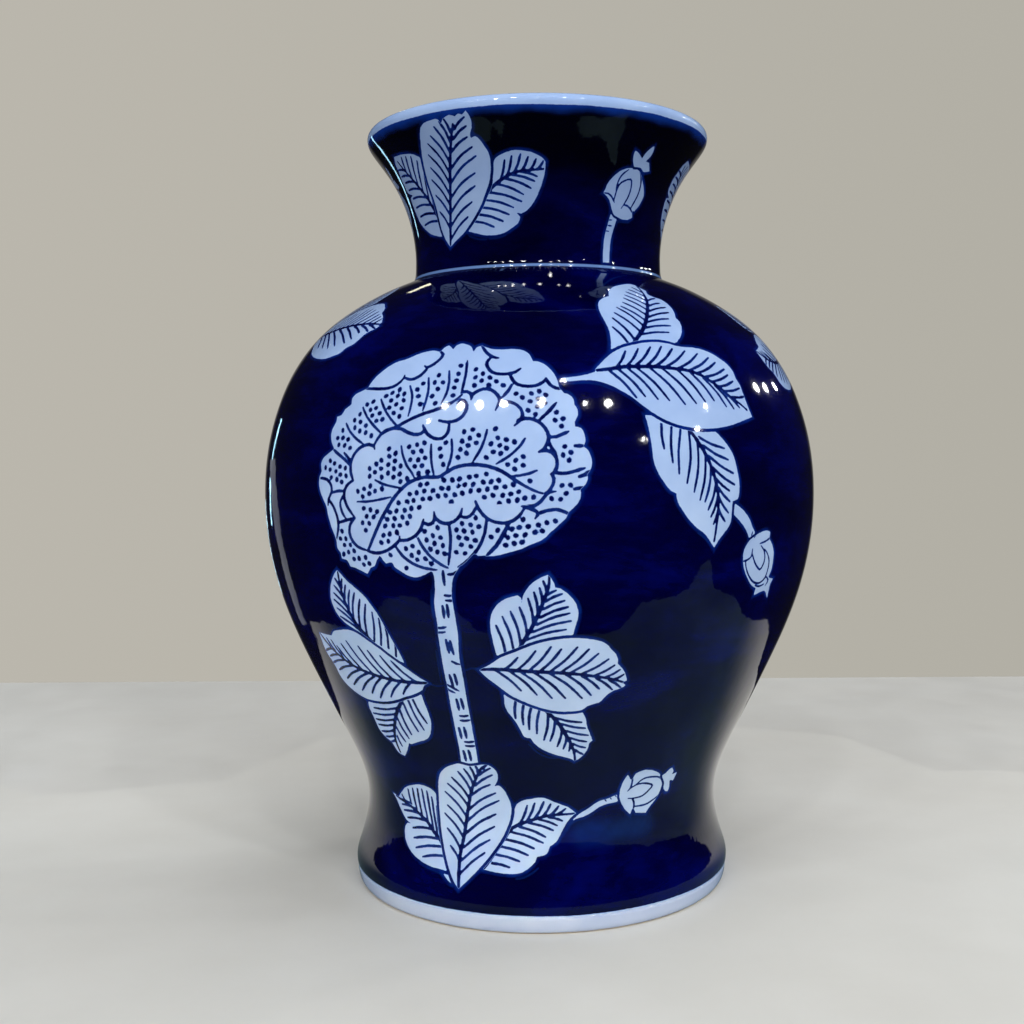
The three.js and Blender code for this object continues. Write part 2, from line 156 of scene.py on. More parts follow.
        [((18.59, 174.58), (16.12, 179.60)), ((20.20, 175.82), (16.87, 182.42)), ((22.23, 178.35), (17.87, 184.12)), ((23.61, 180.19), (19.12, 185.94)), ((24.73, 182.03), (20.46, 186.33)), ((25.87, 183.76), (21.62, 187.71)), ((27.04, 185.46), (22.75, 189.25)), ((28.02, 187.18), (23.82, 190.36)), ((28.98, 188.83), (25.14, 191.50)), ((29.77, 190.39), (26.80, 192.44)), ((30.18, 191.83), (28.83, 193.39)), ((22.26, 177.60), (29.22, 178.53)), ((23.82, 179.68), (30.70, 180.67)), ((25.07, 181.51), (31.38, 182.92)), ((26.04, 183.13), (32.85, 185.02)), ((27.19, 185.04), (33.37, 186.78)), ((28.30, 186.86), (32.77, 188.17)), ((29.50, 188.73), (32.83, 189.81))]),
    "ur_m": ("ur", 2, [(4.26, 163.71, 1), (4.29, 164.82, 1), (6.72, 165.10), (9.20, 165.80), (10.77, 166.51, 1), (10.62, 167.07, 1), (11.74, 168.65), (13.36, 170.68), (15.23, 172.44), (17.32, 173.66), (19.66, 174.47), (22.30, 175.15), (25.18, 175.41), (27.73, 175.08), (29.28, 174.56), (31.44, 174.22), (33.82, 174.19), (36.09, 173.72), (38.26, 172.80), (40.04, 171.40), (41.72, 169.70), (42.63, 167.65), (42.74, 165.43, 1), (43.33, 163.53), (43.45, 161.18), (43.69, 158.83), (43.97, 156.49), (44.40, 154.16, 1), (41.92, 153.25), (38.91, 152.06), (35.91, 151.18), (32.93, 150.74), (30.18, 150.73), (27.59, 151.15), (25.14, 151.98), (22.81, 153.36), (20.62, 155.29), (18.67, 157.50), (17.10, 159.43), (15.31, 161.09), (13.16, 162.75), (10.78, 163.85), (8.54, 164.12), (6.29, 163.84)],
        [(10.99, 166.85), (13.96, 167.39), (16.84, 168.01), (19.73, 168.07), (23.15, 168.10), (26.62, 167.75), (29.78, 167.36), (32.71, 166.31), (35.08, 164.52), (37.40, 162.28), (39.51, 159.87), (41.87, 157.76), (43.26, 156.18)],
        [((14.77, 167.55), (17.43, 172.49)), ((16.94, 168.01), (20.32, 173.24)), ((18.70, 168.10), (23.21, 173.85)), ((21.00, 168.10), (25.84, 174.10)), ((22.93, 168.09), (28.30, 173.55)), ((25.10, 167.99), (31.24, 173.01)), ((27.72, 167.58), (34.35, 172.37)), ((30.20, 167.17), (36.93, 171.31)), ((32.25, 166.50), (38.32, 169.96)), ((33.90, 165.49), (40.21, 168.06)), ((35.38, 164.18), (40.60, 166.36)), ((37.00, 162.79), (41.51, 164.55)), ((38.57, 161.59), (42.83, 162.54)), ((40.08, 159.89), (43.53, 160.15)), ((13.32, 166.96), (17.96, 159.30)), ((15.14, 167.35), (19.76, 159.60)), ((17.09, 167.67), (22.21, 158.93)), ((19.04, 167.71), (24.56, 158.60)), ((21.79, 167.78), (27.81, 157.52)), ((24.56, 167.56), (30.34, 157.84)), ((27.96, 167.15), (32.54, 158.40)), ((30.89, 166.45), (34.82, 158.74)), ((33.67, 165.05), (37.63, 157.07)), ((36.11, 162.96), (39.54, 156.48)), ((38.01, 161.08), (41.20, 156.87))]),
    "ur_b": ("ur", 1, [(19.16, 154.45, 1), (19.54, 151.70), (19.74, 148.94), (19.93, 145.92), (20.01, 143.18), (20.28, 140.72), (20.95, 138.24), (21.88, 136.02), (23.01, 133.79), (24.27, 132.78, 1), (24.34, 131.26), (24.94, 129.30), (25.99, 127.03), (27.05, 125.02), (28.56, 122.98), (30.32, 121.18), (31.53, 119.12), (32.60, 117.04, 1), (33.59, 119.25), (34.91, 121.43), (36.08, 123.63), (36.38, 126.18), (36.45, 128.17), (36.64, 130.15, 1), (37.91, 130.66), (38.36, 133.20), (38.32, 136.35), (37.92, 139.49), (37.44, 142.63), (36.42, 145.49), (34.98, 148.05), (33.56, 150.03), (32.58, 151.73, 1), (28.17, 152.55), (23.09, 154.19)],
        [(27.75, 150.59), (29.17, 147.51), (30.46, 144.43), (31.74, 140.35), (32.61, 136.25), (33.15, 132.02), (33.18, 127.78), (32.87, 123.27), (32.51, 119.04)],
        [((22.19, 151.83), (22.27, 145.21)), ((24.12, 150.86), (23.80, 141.34)), ((25.92, 150.23), (24.96, 138.28)), ((27.65, 149.61), (26.50, 135.61)), ((29.23, 146.67), (27.90, 133.07)), ((30.70, 143.02), (29.13, 130.79)), ((31.73, 139.23), (30.21, 130.27)), ((32.64, 134.85), (30.91, 127.99)), ((32.95, 131.18), (31.56, 125.98)), ((33.01, 127.23), (32.17, 123.88)), ((29.79, 148.21), (35.28, 145.13)), ((30.56, 145.82), (35.94, 141.89)), ((31.48, 143.01), (36.96, 138.01)), ((32.32, 139.55), (37.13, 134.77)), ((32.95, 136.38), (35.84, 133.11)), ((33.36, 133.84), (35.90, 130.05)), ((33.46, 131.02), (35.57, 126.88)), ((33.34, 127.77), (34.84, 124.48))]),
    "nk_c": ("nk", 2, [(-41.91, 208.97, 1), (-44.59, 211.36), (-46.71, 214.65), (-47.58, 218.43), (-47.85, 222.09), (-48.42, 225.75), (-48.58, 229.33), (-47.79, 232.72), (-46.30, 235.93), (-44.21, 238.96), (-42.18, 241.64), (-40.53, 243.27), (-38.24, 244.27), (-35.55, 244.56), (-32.75, 244.60), (-31.95, 243.21, 1), (-30.52, 244.46), (-28.04, 245.09), (-26.13, 244.50, 1), (-24.84, 245.14), (-23.60, 244.76), (-22.13, 245.64, 1), (-21.54, 244.83), (-21.09, 243.16), (-21.65, 241.21), (-22.76, 239.78), (-22.86, 238.64, 1), (-21.18, 239.15), (-19.77, 238.04), (-18.51, 236.15), (-17.53, 234.26), (-17.54, 231.85), (-18.14, 229.15), (-19.32, 226.43), (-21.12, 223.98), (-23.46, 220.94), (-26.33, 218.19), (-29.72, 215.42), (-33.79, 212.68), (-37.84, 210.82)],
        [(-41.86, 209.58), (-40.93, 215.67), (-39.11, 221.53), (-36.91, 227.18), (-34.32, 232.60), (-31.72, 236.96), (-29.61, 240.14), (-27.65, 242.75)],
        [((-41.68, 215.13), (-46.12, 220.10)), ((-40.64, 218.98), (-46.22, 225.06)), ((-39.72, 222.18), (-45.84, 229.58)), ((-38.56, 225.02), (-44.13, 232.84)), ((-37.20, 228.08), (-42.67, 236.30)), ((-35.83, 230.78), (-40.61, 239.03)), ((-34.34, 233.71), (-37.98, 240.82)), ((-32.87, 236.27), (-35.03, 242.80)), ((-31.14, 238.74), (-32.40, 243.77)), ((-29.76, 240.92), (-30.40, 244.32)), ((-40.75, 211.67), (-30.92, 217.30)), ((-40.04, 215.60), (-28.00, 221.52)), ((-38.96, 219.58), (-25.48, 225.96)), ((-37.50, 223.75), (-24.47, 229.54)), ((-35.72, 227.94), (-22.64, 234.05)), ((-33.93, 231.72), (-23.33, 236.48)), ((-31.43, 236.12), (-24.14, 239.13)), ((-29.40, 239.08), (-23.35, 241.85)), ((-27.73, 241.49), (-23.14, 244.08))]),
    "nk_l": ("nk", 1, [(-63.16, 238.80, 1), (-56.15, 238.36), (-51.40, 237.78), (-48.70, 236.82), (-47.26, 235.21), (-48.03, 228.38), (-47.10, 217.76), (-46.51, 212.47, 1), (-50.82, 213.18), (-55.41, 214.26), (-60.16, 216.33), (-64.13, 218.99), (-66.00, 222.06), (-66.72, 224.68), (-66.59, 226.54), (-63.22, 227.16, 1), (-67.54, 228.55), (-67.89, 230.47), (-67.74, 232.62), (-66.43, 234.86), (-65.58, 236.84)],
        [(-46.04, 214.59), (-48.13, 218.79), (-50.54, 222.38), (-52.42, 225.17), (-55.41, 228.26), (-58.05, 231.16), (-60.98, 234.29), (-62.59, 237.23)],
        [((-47.87, 217.53), (-59.60, 217.37)), ((-49.64, 220.00), (-62.21, 220.34)), ((-51.07, 222.75), (-63.95, 223.37)), ((-52.42, 225.17), (-64.43, 226.24)), ((-54.87, 227.95), (-65.32, 229.01)), ((-57.17, 230.44), (-65.65, 231.27)), ((-59.07, 232.51), (-66.28, 233.31)), ((-60.77, 234.41), (-66.12, 235.26)), ((-49.32, 221.95), (-47.40, 229.18)), ((-51.35, 224.59), (-48.15, 233.06)), ((-53.81, 227.30), (-49.98, 235.58)), ((-55.87, 229.37), (-52.16, 237.18)), ((-58.18, 231.78), (-55.26, 237.51)), ((-60.25, 233.88), (-58.24, 237.84))]),
    "nk_r": ("nk", 1, [(-21.52, 221.70, 1), (-18.23, 225.52), (-17.26, 228.56), (-16.69, 231.26), (-15.39, 232.96), (-13.12, 233.91), (-10.44, 234.58), (-7.89, 234.89), (-5.06, 234.69), (-2.25, 234.26), (0.23, 233.46), (2.04, 232.53), (2.97, 231.60, 1), (2.85, 229.17), (2.12, 226.68), (0.96, 224.18), (-0.66, 221.62), (-2.75, 219.35), (-4.86, 217.93), (-6.98, 217.23, 1), (-9.07, 217.57, 1), (-7.44, 216.21), (-8.37, 214.47), (-11.02, 213.05), (-14.57, 211.65), (-19.09, 211.16), (-23.75, 211.45), (-28.10, 212.30), (-32.68, 213.22, 1), (-25.82, 218.46)],
        [(-32.64, 213.52), (-28.49, 216.84), (-24.48, 220.42), (-21.28, 223.13), (-18.31, 225.11), (-14.71, 226.90), (-10.95, 228.29), (-7.38, 229.14), (-2.81, 229.46), (2.46, 229.71)],
        [((-27.67, 215.74), (-18.98, 213.64)), ((-25.92, 217.72), (-14.82, 215.16)), ((-24.17, 219.67), (-12.07, 217.07)), ((-21.96, 221.72), (-10.03, 219.06)), ((-19.65, 223.76), (-6.59, 220.70)), ((-16.08, 225.98), (-5.67, 222.69)), ((-12.64, 227.38), (-2.60, 224.42)), ((-9.40, 228.24), (-1.18, 226.36)), ((-5.87, 228.97), (-0.19, 227.72)), ((-14.75, 226.62), (-12.08, 232.40)), ((-11.99, 227.77), (-9.35, 233.37)), ((-9.18, 228.51), (-6.04, 233.80)), ((-6.05, 229.11), (-3.39, 232.97)), ((-2.81, 229.33), (-0.51, 232.40)), ((0.02, 229.57), (2.16, 231.86))]),
}
WHITE = {
    "trunk": ("trunk", 0, [(-19.89, 113.25, 1), (-19.03, 111.33), (-18.88, 108.80), (-19.01, 105.93), (-19.38, 103.04), (-19.42, 99.57), (-19.36, 96.34), (-19.56, 92.76), (-19.59, 88.87), (-19.72, 84.88), (-19.76, 80.85), (-19.76, 76.45), (-19.96, 71.64), (-20.07, 66.77), (-20.20, 61.81), (-20.36, 56.77), (-20.90, 50.59, 1), (-16.12, 51.07, 1), (-15.98, 57.20), (-15.91, 62.87), (-15.91, 68.12), (-15.92, 73.27), (-15.86, 78.03), (-15.89, 82.39), (-15.98, 86.08), (-15.80, 89.73), (-15.55, 93.62), (-15.60, 97.45), (-15.72, 100.93), (-15.88, 104.36), (-15.63, 108.08), (-15.24, 110.35), (-14.04, 113.18, 1), (-16.61, 115.06)]),
    "twig_r": ("base", 0, [(5.81, 29.36, 1), (6.24, 31.39), (7.70, 33.36), (9.12, 34.59), (10.82, 35.80), (13.10, 37.12), (15.06, 38.60), (16.75, 39.60), (18.50, 39.92), (20.23, 40.57), (22.53, 41.46, 1), (23.63, 38.92, 1), (20.85, 38.46), (18.71, 38.22), (16.65, 37.45), (14.38, 35.85), (12.07, 34.71), (10.02, 34.20), (8.29, 33.01), (7.13, 31.35)]),
    "bud_r": ("base", 1, [(22.47, 40.10, 1), (22.37, 43.19), (22.93, 45.84), (23.74, 47.62, 1), (25.31, 45.49), (26.18, 47.60), (28.79, 48.38), (31.95, 47.65), (34.63, 45.93), (36.03, 43.95), (36.62, 41.10), (35.97, 38.17), (34.51, 36.12), (33.31, 34.67), (32.42, 33.34, 1), (28.73, 33.98, 1), (27.58, 35.67), (26.86, 33.78, 1), (24.88, 35.75), (23.44, 37.95)]),
    "crown_r": ("base", 1, [(35.42, 45.26, 1), (36.66, 45.87), (37.54, 46.90), (38.55, 47.45, 1), (39.60, 45.95), (39.34, 44.87, 1), (41.29, 45.24, 1), (41.06, 43.59), (40.68, 42.47, 1), (39.28, 42.94), (39.92, 40.75), (39.84, 39.16), (38.86, 39.26, 1), (37.58, 40.56), (37.35, 42.32)]),
    "spur_l": ("base", 0, [(-30.39, 16.63, 1), (-28.26, 16.26), (-26.65, 14.68), (-26.09, 13.22, 1), (-27.73, 14.23), (-29.12, 15.42)]),
    "bud_stem": ("ur", 0, [(36.65, 129.87, 1), (38.48, 128.34), (40.14, 126.37), (41.31, 124.41), (42.09, 122.33), (43.55, 119.58, 1), (41.72, 117.69, 1), (41.06, 119.80), (40.14, 121.90), (38.87, 123.86), (37.53, 125.53), (36.23, 127.04, 1)]),
    "bud_ur": ("ur", 1, [(43.23, 119.76, 1), (44.39, 120.39), (46.27, 120.96), (47.81, 120.38), (47.69, 118.61), (48.86, 116.71), (49.81, 114.21), (50.08, 111.47), (50.02, 108.76), (49.34, 106.57, 1), (51.45, 105.98, 1), (50.74, 104.39), (50.70, 102.56), (50.92, 99.92, 1), (49.19, 102.48), (47.25, 102.30), (45.54, 101.63, 1), (45.66, 103.89, 1), (43.95, 105.02), (42.38, 107.31), (41.05, 109.85), (40.36, 112.27), (40.15, 114.92), (40.56, 116.78), (41.62, 118.58, 1)]),
    "bud_nk": ("nkb", 1, [(32.52, 219.52, 1), (31.26, 221.49), (29.45, 222.98), (27.35, 223.86, 1), (28.03, 224.76), (28.84, 226.81), (30.59, 228.64), (32.75, 230.20), (35.15, 231.25), (37.85, 231.79), (41.03, 231.69), (43.42, 230.95), (45.50, 229.16), (47.79, 227.07), (49.20, 224.85), (48.55, 222.99), (47.27, 221.35), (45.30, 219.81, 1), (44.00, 219.84), (44.69, 217.94, 1), (42.37, 217.07), (38.82, 216.90), (36.18, 217.40, 1), (34.20, 217.86)]),
    "crown_nk": ("nkb", 1, [(39.17, 232.20, 1), (37.60, 233.99), (37.07, 235.57), (37.18, 236.54, 1), (39.25, 235.94), (41.66, 234.70, 1), (42.15, 236.13), (43.54, 237.68), (44.97, 238.67, 1), (45.67, 237.12), (45.23, 235.67), (43.90, 234.26, 1), (46.04, 234.09, 1), (48.02, 231.91, 1), (44.59, 231.37), (42.84, 232.31)]),
    "stem_nk": ("nkb", 0, [(29.14, 203.02, 1), (29.44, 206.92), (29.85, 210.02), (30.38, 212.19), (31.22, 214.36), (31.91, 216.50), (32.49, 218.64), (32.22, 220.68, 1), (36.89, 218.05, 1), (35.59, 216.15), (34.84, 214.29), (33.98, 212.10), (33.27, 209.91), (32.79, 207.10), (32.38, 203.18, 1)]),
    "peony": ("peony", 0, [(-34.59, 162.95, 1), (-33.84, 165.22), (-32.52, 167.17), (-31.04, 168.84), (-29.23, 170.20), (-27.04, 170.95), (-25.21, 172.02), (-23.32, 172.79), (-21.37, 173.13), (-19.96, 172.63, 1), (-19.32, 173.77), (-18.37, 174.46), (-17.27, 173.24, 1), (-16.82, 174.25), (-15.87, 174.94), (-14.54, 174.60), (-13.61, 173.97), (-12.89, 172.35, 1), (-12.51, 173.49), (-11.95, 173.92), (-11.36, 174.19, 1), (-9.63, 173.26), (-7.61, 172.92), (-5.23, 173.01), (-3.25, 172.69), (-1.86, 171.52), (-1.08, 169.51, 1), (0.25, 169.21), (1.57, 168.06), (2.66, 166.36), (3.35, 164.41), (3.75, 161.90, 1), (4.53, 160.51, 1), (5.42, 160.10), (6.20, 158.85), (6.32, 157.21, 1), (6.82, 156.11), (6.85, 154.47), (6.27, 152.70, 1), (6.24, 151.34, 1), (7.28, 150.92), (7.85, 149.29), (7.97, 147.39), (7.59, 145.91, 1), (8.35, 144.96), (8.84, 143.33), (9.01, 141.44), (8.68, 139.55), (8.06, 138.21, 1), (8.22, 137.13), (7.70, 135.52), (6.92, 134.31, 1), (7.00, 132.56), (6.47, 130.68), (5.71, 129.34), (4.78, 128.00, 1), (4.44, 126.65), (3.42, 125.04), (2.07, 123.16), (1.05, 121.54), (0.04, 120.47), (-1.49, 119.52), (-3.20, 118.30), (-5.25, 117.33), (-7.16, 116.50), (-9.07, 116.20, 1), (-9.59, 116.47, 1), (-10.64, 116.32, 1), (-11.33, 116.86), (-12.63, 114.89), (-13.94, 113.33), (-15.42, 112.86), (-16.89, 112.81), (-19.19, 111.88, 1), (-20.79, 110.68), (-22.41, 109.89), (-23.98, 110.36), (-25.35, 111.42), (-26.62, 112.62, 1), (-27.05, 113.87), (-28.36, 113.50, 1), (-28.93, 114.47), (-29.48, 115.86, 1), (-30.26, 114.38, 1), (-30.96, 112.61), (-31.93, 111.97, 1), (-32.78, 110.18, 1), (-34.02, 110.94), (-35.41, 111.69), (-36.76, 112.02, 1), (-37.34, 113.71), (-38.73, 114.18, 1), (-38.81, 115.77), (-39.59, 117.17), (-39.62, 119.20, 1), (-40.03, 120.92), (-40.63, 122.76), (-41.10, 124.75), (-41.57, 126.75), (-41.89, 128.91), (-42.70, 130.90), (-43.63, 133.18), (-44.13, 135.49), (-44.03, 137.66, 1), (-43.48, 139.27), (-43.82, 141.14), (-43.26, 143.03), (-41.92, 144.33), (-40.49, 145.62, 1), (-41.45, 147.63), (-41.88, 149.37), (-41.78, 151.39), (-41.09, 153.39), (-41.15, 154.98, 1), (-39.97, 155.38), (-39.34, 156.95, 1), (-38.67, 157.64), (-37.90, 158.48), (-38.10, 160.07), (-37.33, 161.34), (-36.17, 162.01)]),
}
# brush lines: group, width in mm, points
INK = [
    ("peony", 1.00, [(-35.07, 162.83), (-32.27, 162.61), (-29.66, 162.67), (-27.78, 163.64), (-26.69, 165.16), (-26.52, 166.15)]),
    ("peony", 1.00, [(-26.28, 165.43), (-24.88, 164.94), (-23.46, 165.59), (-22.37, 166.97), (-21.96, 168.24), (-22.59, 168.70)]),
    ("peony", 1.00, [(-21.96, 168.24), (-20.64, 169.19), (-19.61, 170.59), (-19.19, 171.87), (-20.02, 172.92)]),
    ("peony", 1.00, [(-11.35, 174.04), (-10.13, 171.98), (-8.85, 170.79), (-7.75, 170.48)]),
    ("peony", 1.00, [(-9.23, 170.66), (-9.92, 169.39), (-9.71, 167.96), (-8.76, 166.52), (-7.22, 165.93), (-5.53, 166.04), (-4.24, 166.58), (-3.41, 167.41)]),
    ("peony", 1.00, [(-5.35, 166.04), (-4.83, 164.21), (-3.80, 162.94), (-2.15, 162.45), (-0.51, 162.63), (0.77, 163.59), (1.33, 164.70)]),
    ("peony", 1.00, [(1.33, 164.56), (2.04, 162.88), (3.11, 161.90), (4.20, 161.76)]),
    ("peony", 0.80, [(-34.70, 157.36), (-33.23, 154.61), (-31.25, 152.02), (-29.23, 149.74)]),
    ("peony", 0.80, [(-30.72, 159.49), (-29.35, 156.48), (-27.65, 153.76), (-25.97, 151.64)]),
    ("peony", 0.80, [(-24.81, 163.10), (-24.01, 160.52), (-23.90, 157.72), (-24.17, 154.66)]),
    ("peony", 0.80, [(-21.19, 165.22), (-20.80, 162.10), (-20.96, 159.03), (-21.37, 155.98)]),
    ("peony", 0.80, [(-17.19, 167.05), (-16.88, 163.94), (-17.07, 160.87), (-17.90, 157.84)]),
    ("peony", 0.85, [(-13.92, 169.79), (-13.77, 166.66), (-13.94, 163.86), (-14.20, 161.07)]),
    ("peony", 0.80, [(-38.25, 152.89), (-36.88, 150.57), (-35.12, 148.56), (-33.25, 146.99)]),
    ("peony", 1.05, [(-29.23, 149.74), (-28.03, 150.84), (-26.39, 151.59), (-24.82, 152.86), (-22.90, 154.21), (-21.00, 155.28), (-18.93, 156.20), (-16.90, 157.40), (-15.28, 158.74), (-14.05, 160.37)]),
    ("peony", 1.00, [(-35.94, 141.06), (-37.86, 143.04), (-39.86, 144.75), (-40.77, 145.62)]),
    ("peony", 1.05, [(-35.03, 136.69), (-35.68, 139.09), (-35.76, 141.91), (-34.97, 144.46), (-33.65, 146.14), (-31.84, 146.83), (-30.66, 146.12), (-30.52, 145.56)]),
    ("peony", 1.05, [(-30.70, 146.68), (-30.00, 148.63), (-28.86, 150.43), (-27.21, 151.24), (-25.52, 151.21), (-24.00, 150.21), (-22.55, 149.50), (-21.19, 149.76), (-20.58, 150.85), (-20.95, 152.10)]),
    ("peony", 1.00, [(-20.93, 151.82), (-20.02, 149.74), (-18.61, 148.41), (-17.11, 148.41), (-16.16, 149.82), (-15.97, 151.74), (-15.93, 152.83)]),
    ("peony", 1.00, [(-17.93, 153.28), (-16.40, 152.84), (-14.74, 153.22), (-13.52, 154.57), (-12.98, 156.48), (-13.17, 158.14), (-14.16, 158.99), (-14.84, 157.90)]),
    ("peony", 1.00, [(-14.19, 160.93), (-13.16, 161.18), (-12.26, 160.19), (-12.28, 158.95)]),
    ("peony", 1.05, [(-12.33, 159.78), (-11.64, 160.87), (-10.20, 161.81), (-8.71, 161.56), (-7.55, 160.24), (-6.96, 158.57), (-7.37, 157.07), (-7.69, 155.98)]),
    ("peony", 1.00, [(-6.95, 158.30), (-5.69, 158.28), (-4.34, 157.71), (-3.26, 156.33), (-2.89, 154.55), (-3.40, 152.92), (-4.26, 151.71)]),
    ("peony", 1.05, [(-3.84, 153.06), (-2.44, 153.59), (-0.87, 153.30), (0.51, 151.93), (1.45, 149.89), (1.60, 147.72), (0.99, 145.71), (-0.04, 144.50)]),
    ("peony", 1.05, [(-35.03, 136.83), (-36.60, 135.10), (-37.19, 132.81), (-36.78, 130.27), (-35.76, 128.03), (-34.61, 126.23)]),
    ("peony", 1.05, [(-34.62, 126.09), (-35.77, 124.32), (-36.11, 121.74), (-35.49, 119.48), (-34.20, 117.84), (-32.30, 116.96)]),
    ("peony", 1.10, [(-32.08, 116.83), (-31.20, 119.17), (-29.95, 122.63), (-28.67, 126.05), (-27.21, 129.45), (-25.77, 132.40), (-24.18, 134.91), (-22.43, 136.72), (-20.14, 137.75), (-17.54, 137.84), (-16.09, 139.07), (-14.50, 140.42), (-12.56, 141.09), (-10.46, 141.14), (-8.38, 140.58), (-6.31, 139.31), (-4.45, 137.41), (-2.59, 135.51), (-0.75, 134.01), (0.59, 133.32)]),
    ("peony", 0.80, [(-24.93, 146.35), (-24.41, 143.59), (-23.50, 140.84), (-22.44, 138.78), (-21.85, 137.00)]),
    ("peony", 0.80, [(-19.08, 146.71), (-18.98, 143.57), (-18.70, 140.56), (-18.28, 138.11)]),
    ("peony", 0.80, [(-15.34, 148.04), (-15.15, 144.91), (-15.45, 142.19), (-16.02, 139.75)]),
    ("peony", 0.80, [(-9.06, 150.55), (-9.52, 147.57), (-10.34, 144.60), (-11.52, 141.63)]),
    ("peony", 0.80, [(-2.42, 148.17), (-3.44, 145.88), (-5.14, 143.47), (-7.35, 141.33)]),
    ("peony", 0.80, [(-0.39, 139.53), (-1.74, 138.73), (-3.26, 138.21), (-4.44, 138.08)]),
    ("peony", 0.75, [(-34.00, 130.65), (-31.48, 130.87), (-28.87, 131.50), (-26.58, 132.24)]),
    ("peony", 0.75, [(-30.01, 136.91), (-28.28, 135.82), (-26.40, 135.16), (-24.58, 134.77)]),
    ("peony", 1.00, [(-32.08, 116.83), (-30.32, 116.37), (-28.32, 116.92), (-26.53, 118.43), (-25.19, 120.18), (-25.06, 121.30)]),
    ("peony", 1.00, [(-25.09, 120.18), (-23.59, 120.39), (-22.00, 121.55), (-20.81, 123.67), (-20.28, 126.17)]),
    ("peony", 1.00, [(-20.39, 125.47), (-19.46, 124.81), (-18.52, 125.38), (-18.22, 126.90), (-18.28, 128.27)]),
    ("peony", 1.00, [(-18.21, 127.17), (-17.41, 125.68), (-16.14, 125.15), (-14.70, 125.73), (-13.61, 127.38), (-13.23, 129.29)]),
    ("peony", 0.90, [(-13.43, 127.11), (-12.38, 126.85), (-11.32, 128.08), (-10.78, 129.85)]),
    ("peony", 1.00, [(-10.86, 131.21), (-10.27, 129.04), (-9.08, 126.87), (-7.55, 125.65), (-5.68, 125.39), (-4.15, 126.33), (-3.04, 128.09), (-2.44, 129.71)]),
    ("peony", 0.95, [(-26.10, 118.73), (-24.84, 116.11), (-22.97, 113.95), (-20.69, 112.66), (-18.23, 112.20)]),
    ("peony", 0.95, [(-21.53, 121.16), (-20.58, 118.41), (-19.19, 115.80), (-17.41, 113.77), (-16.15, 112.84)]),
    ("peony", 0.95, [(-15.61, 125.03), (-15.39, 121.74), (-15.59, 117.87), (-16.03, 113.68)]),
    ("peony", 1.00, [(-9.00, 126.19), (-9.30, 122.92), (-10.12, 119.64), (-11.33, 116.86), (-12.82, 114.61), (-14.31, 113.18)]),
    ("peony", 1.30, [(-5.26, 125.11), (-6.22, 122.12), (-7.45, 119.11), (-9.16, 116.34)]),
    ("peony", 1.00, [(-4.90, 162.96), (-5.58, 161.17), (-6.62, 159.39)]),
    ("peony", 1.00, [(-43.72, 137.24), (-41.81, 136.84), (-40.66, 135.29), (-40.48, 133.28), (-41.28, 131.24), (-41.44, 129.51)]),
    ("peony", 1.00, [(-41.13, 130.96), (-39.95, 129.00), (-39.12, 126.45), (-38.85, 123.58), (-39.55, 119.79)]),
    ("peony", 0.90, [(-40.34, 133.15), (-38.49, 133.63), (-37.20, 133.67)]),
    ("peony", 0.90, [(-38.67, 124.60), (-36.59, 125.42), (-34.62, 126.09)]),
    ("peony", 0.90, [(-37.72, 144.46), (-36.18, 142.62), (-35.70, 141.07)]),
    ("peony", 0.90, [(-37.31, 132.53), (-38.18, 130.22), (-37.65, 127.38), (-36.59, 125.42)]),
    ("trunk", 1.03, [(-17.12, 111.97), (-17.11, 110.00), (-17.04, 108.03)]),
    ("trunk", 0.92, [(-16.23, 111.02), (-15.30, 111.19), (-14.35, 112.06)]),
    ("trunk", 0.92, [(-17.16, 105.02), (-16.40, 104.97), (-15.64, 105.09)]),
    ("trunk", 0.92, [(-17.07, 103.59), (-16.31, 103.54), (-15.54, 103.66)]),
    ("trunk", 1.03, [(-17.86, 101.97), (-17.80, 100.24), (-17.83, 98.50)]),
    ("trunk", 1.03, [(-16.97, 102.30), (-16.91, 100.44), (-16.94, 98.70)]),
    ("trunk", 0.92, [(-19.56, 95.44), (-18.75, 95.50), (-17.71, 95.86)]),
    ("trunk", 0.92, [(-19.51, 94.11), (-18.69, 94.16), (-18.06, 94.35)]),
    ("trunk", 1.03, [(-18.11, 91.97), (-18.01, 90.03), (-17.91, 88.09)]),
    ("trunk", 1.03, [(-17.33, 91.72), (-17.22, 89.79), (-17.03, 87.69)]),
    ("trunk", 0.92, [(-17.62, 85.51), (-16.85, 84.95), (-16.04, 84.69)]),
    ("trunk", 1.03, [(-18.72, 81.25), (-18.53, 79.39), (-18.40, 77.20)]),
    ("trunk", 1.03, [(-17.60, 81.49), (-17.49, 79.79), (-17.48, 78.23)]),
    ("trunk", 0.80, [(-20.48, 77.65), (-19.53, 76.47), (-18.30, 75.63)]),
    ("trunk", 0.80, [(-19.71, 78.20), (-18.52, 77.19), (-17.30, 76.34)]),
    ("trunk", 1.03, [(-18.26, 73.56), (-18.18, 71.80), (-18.19, 70.19)]),
    ("trunk", 1.03, [(-17.20, 73.81), (-17.08, 72.22), (-17.08, 70.61)]),
    ("trunk", 0.92, [(-18.25, 68.25), (-17.30, 68.23), (-16.19, 68.58)]),
    ("trunk", 0.92, [(-18.36, 66.77), (-17.28, 66.77), (-16.04, 67.13)]),
    ("trunk", 1.03, [(-19.15, 64.23), (-19.08, 62.42), (-19.11, 60.76)]),
    ("trunk", 1.03, [(-17.87, 64.52), (-17.78, 62.71), (-17.79, 61.05)]),
    ("trunk", 0.92, [(-18.40, 59.66), (-17.26, 59.67), (-16.07, 60.04)]),
    ("trunk", 0.92, [(-18.37, 58.33), (-17.34, 58.32), (-16.03, 58.61)]),
    ("trunk", 1.03, [(-19.34, 56.54), (-19.25, 54.86), (-19.29, 53.16)]),
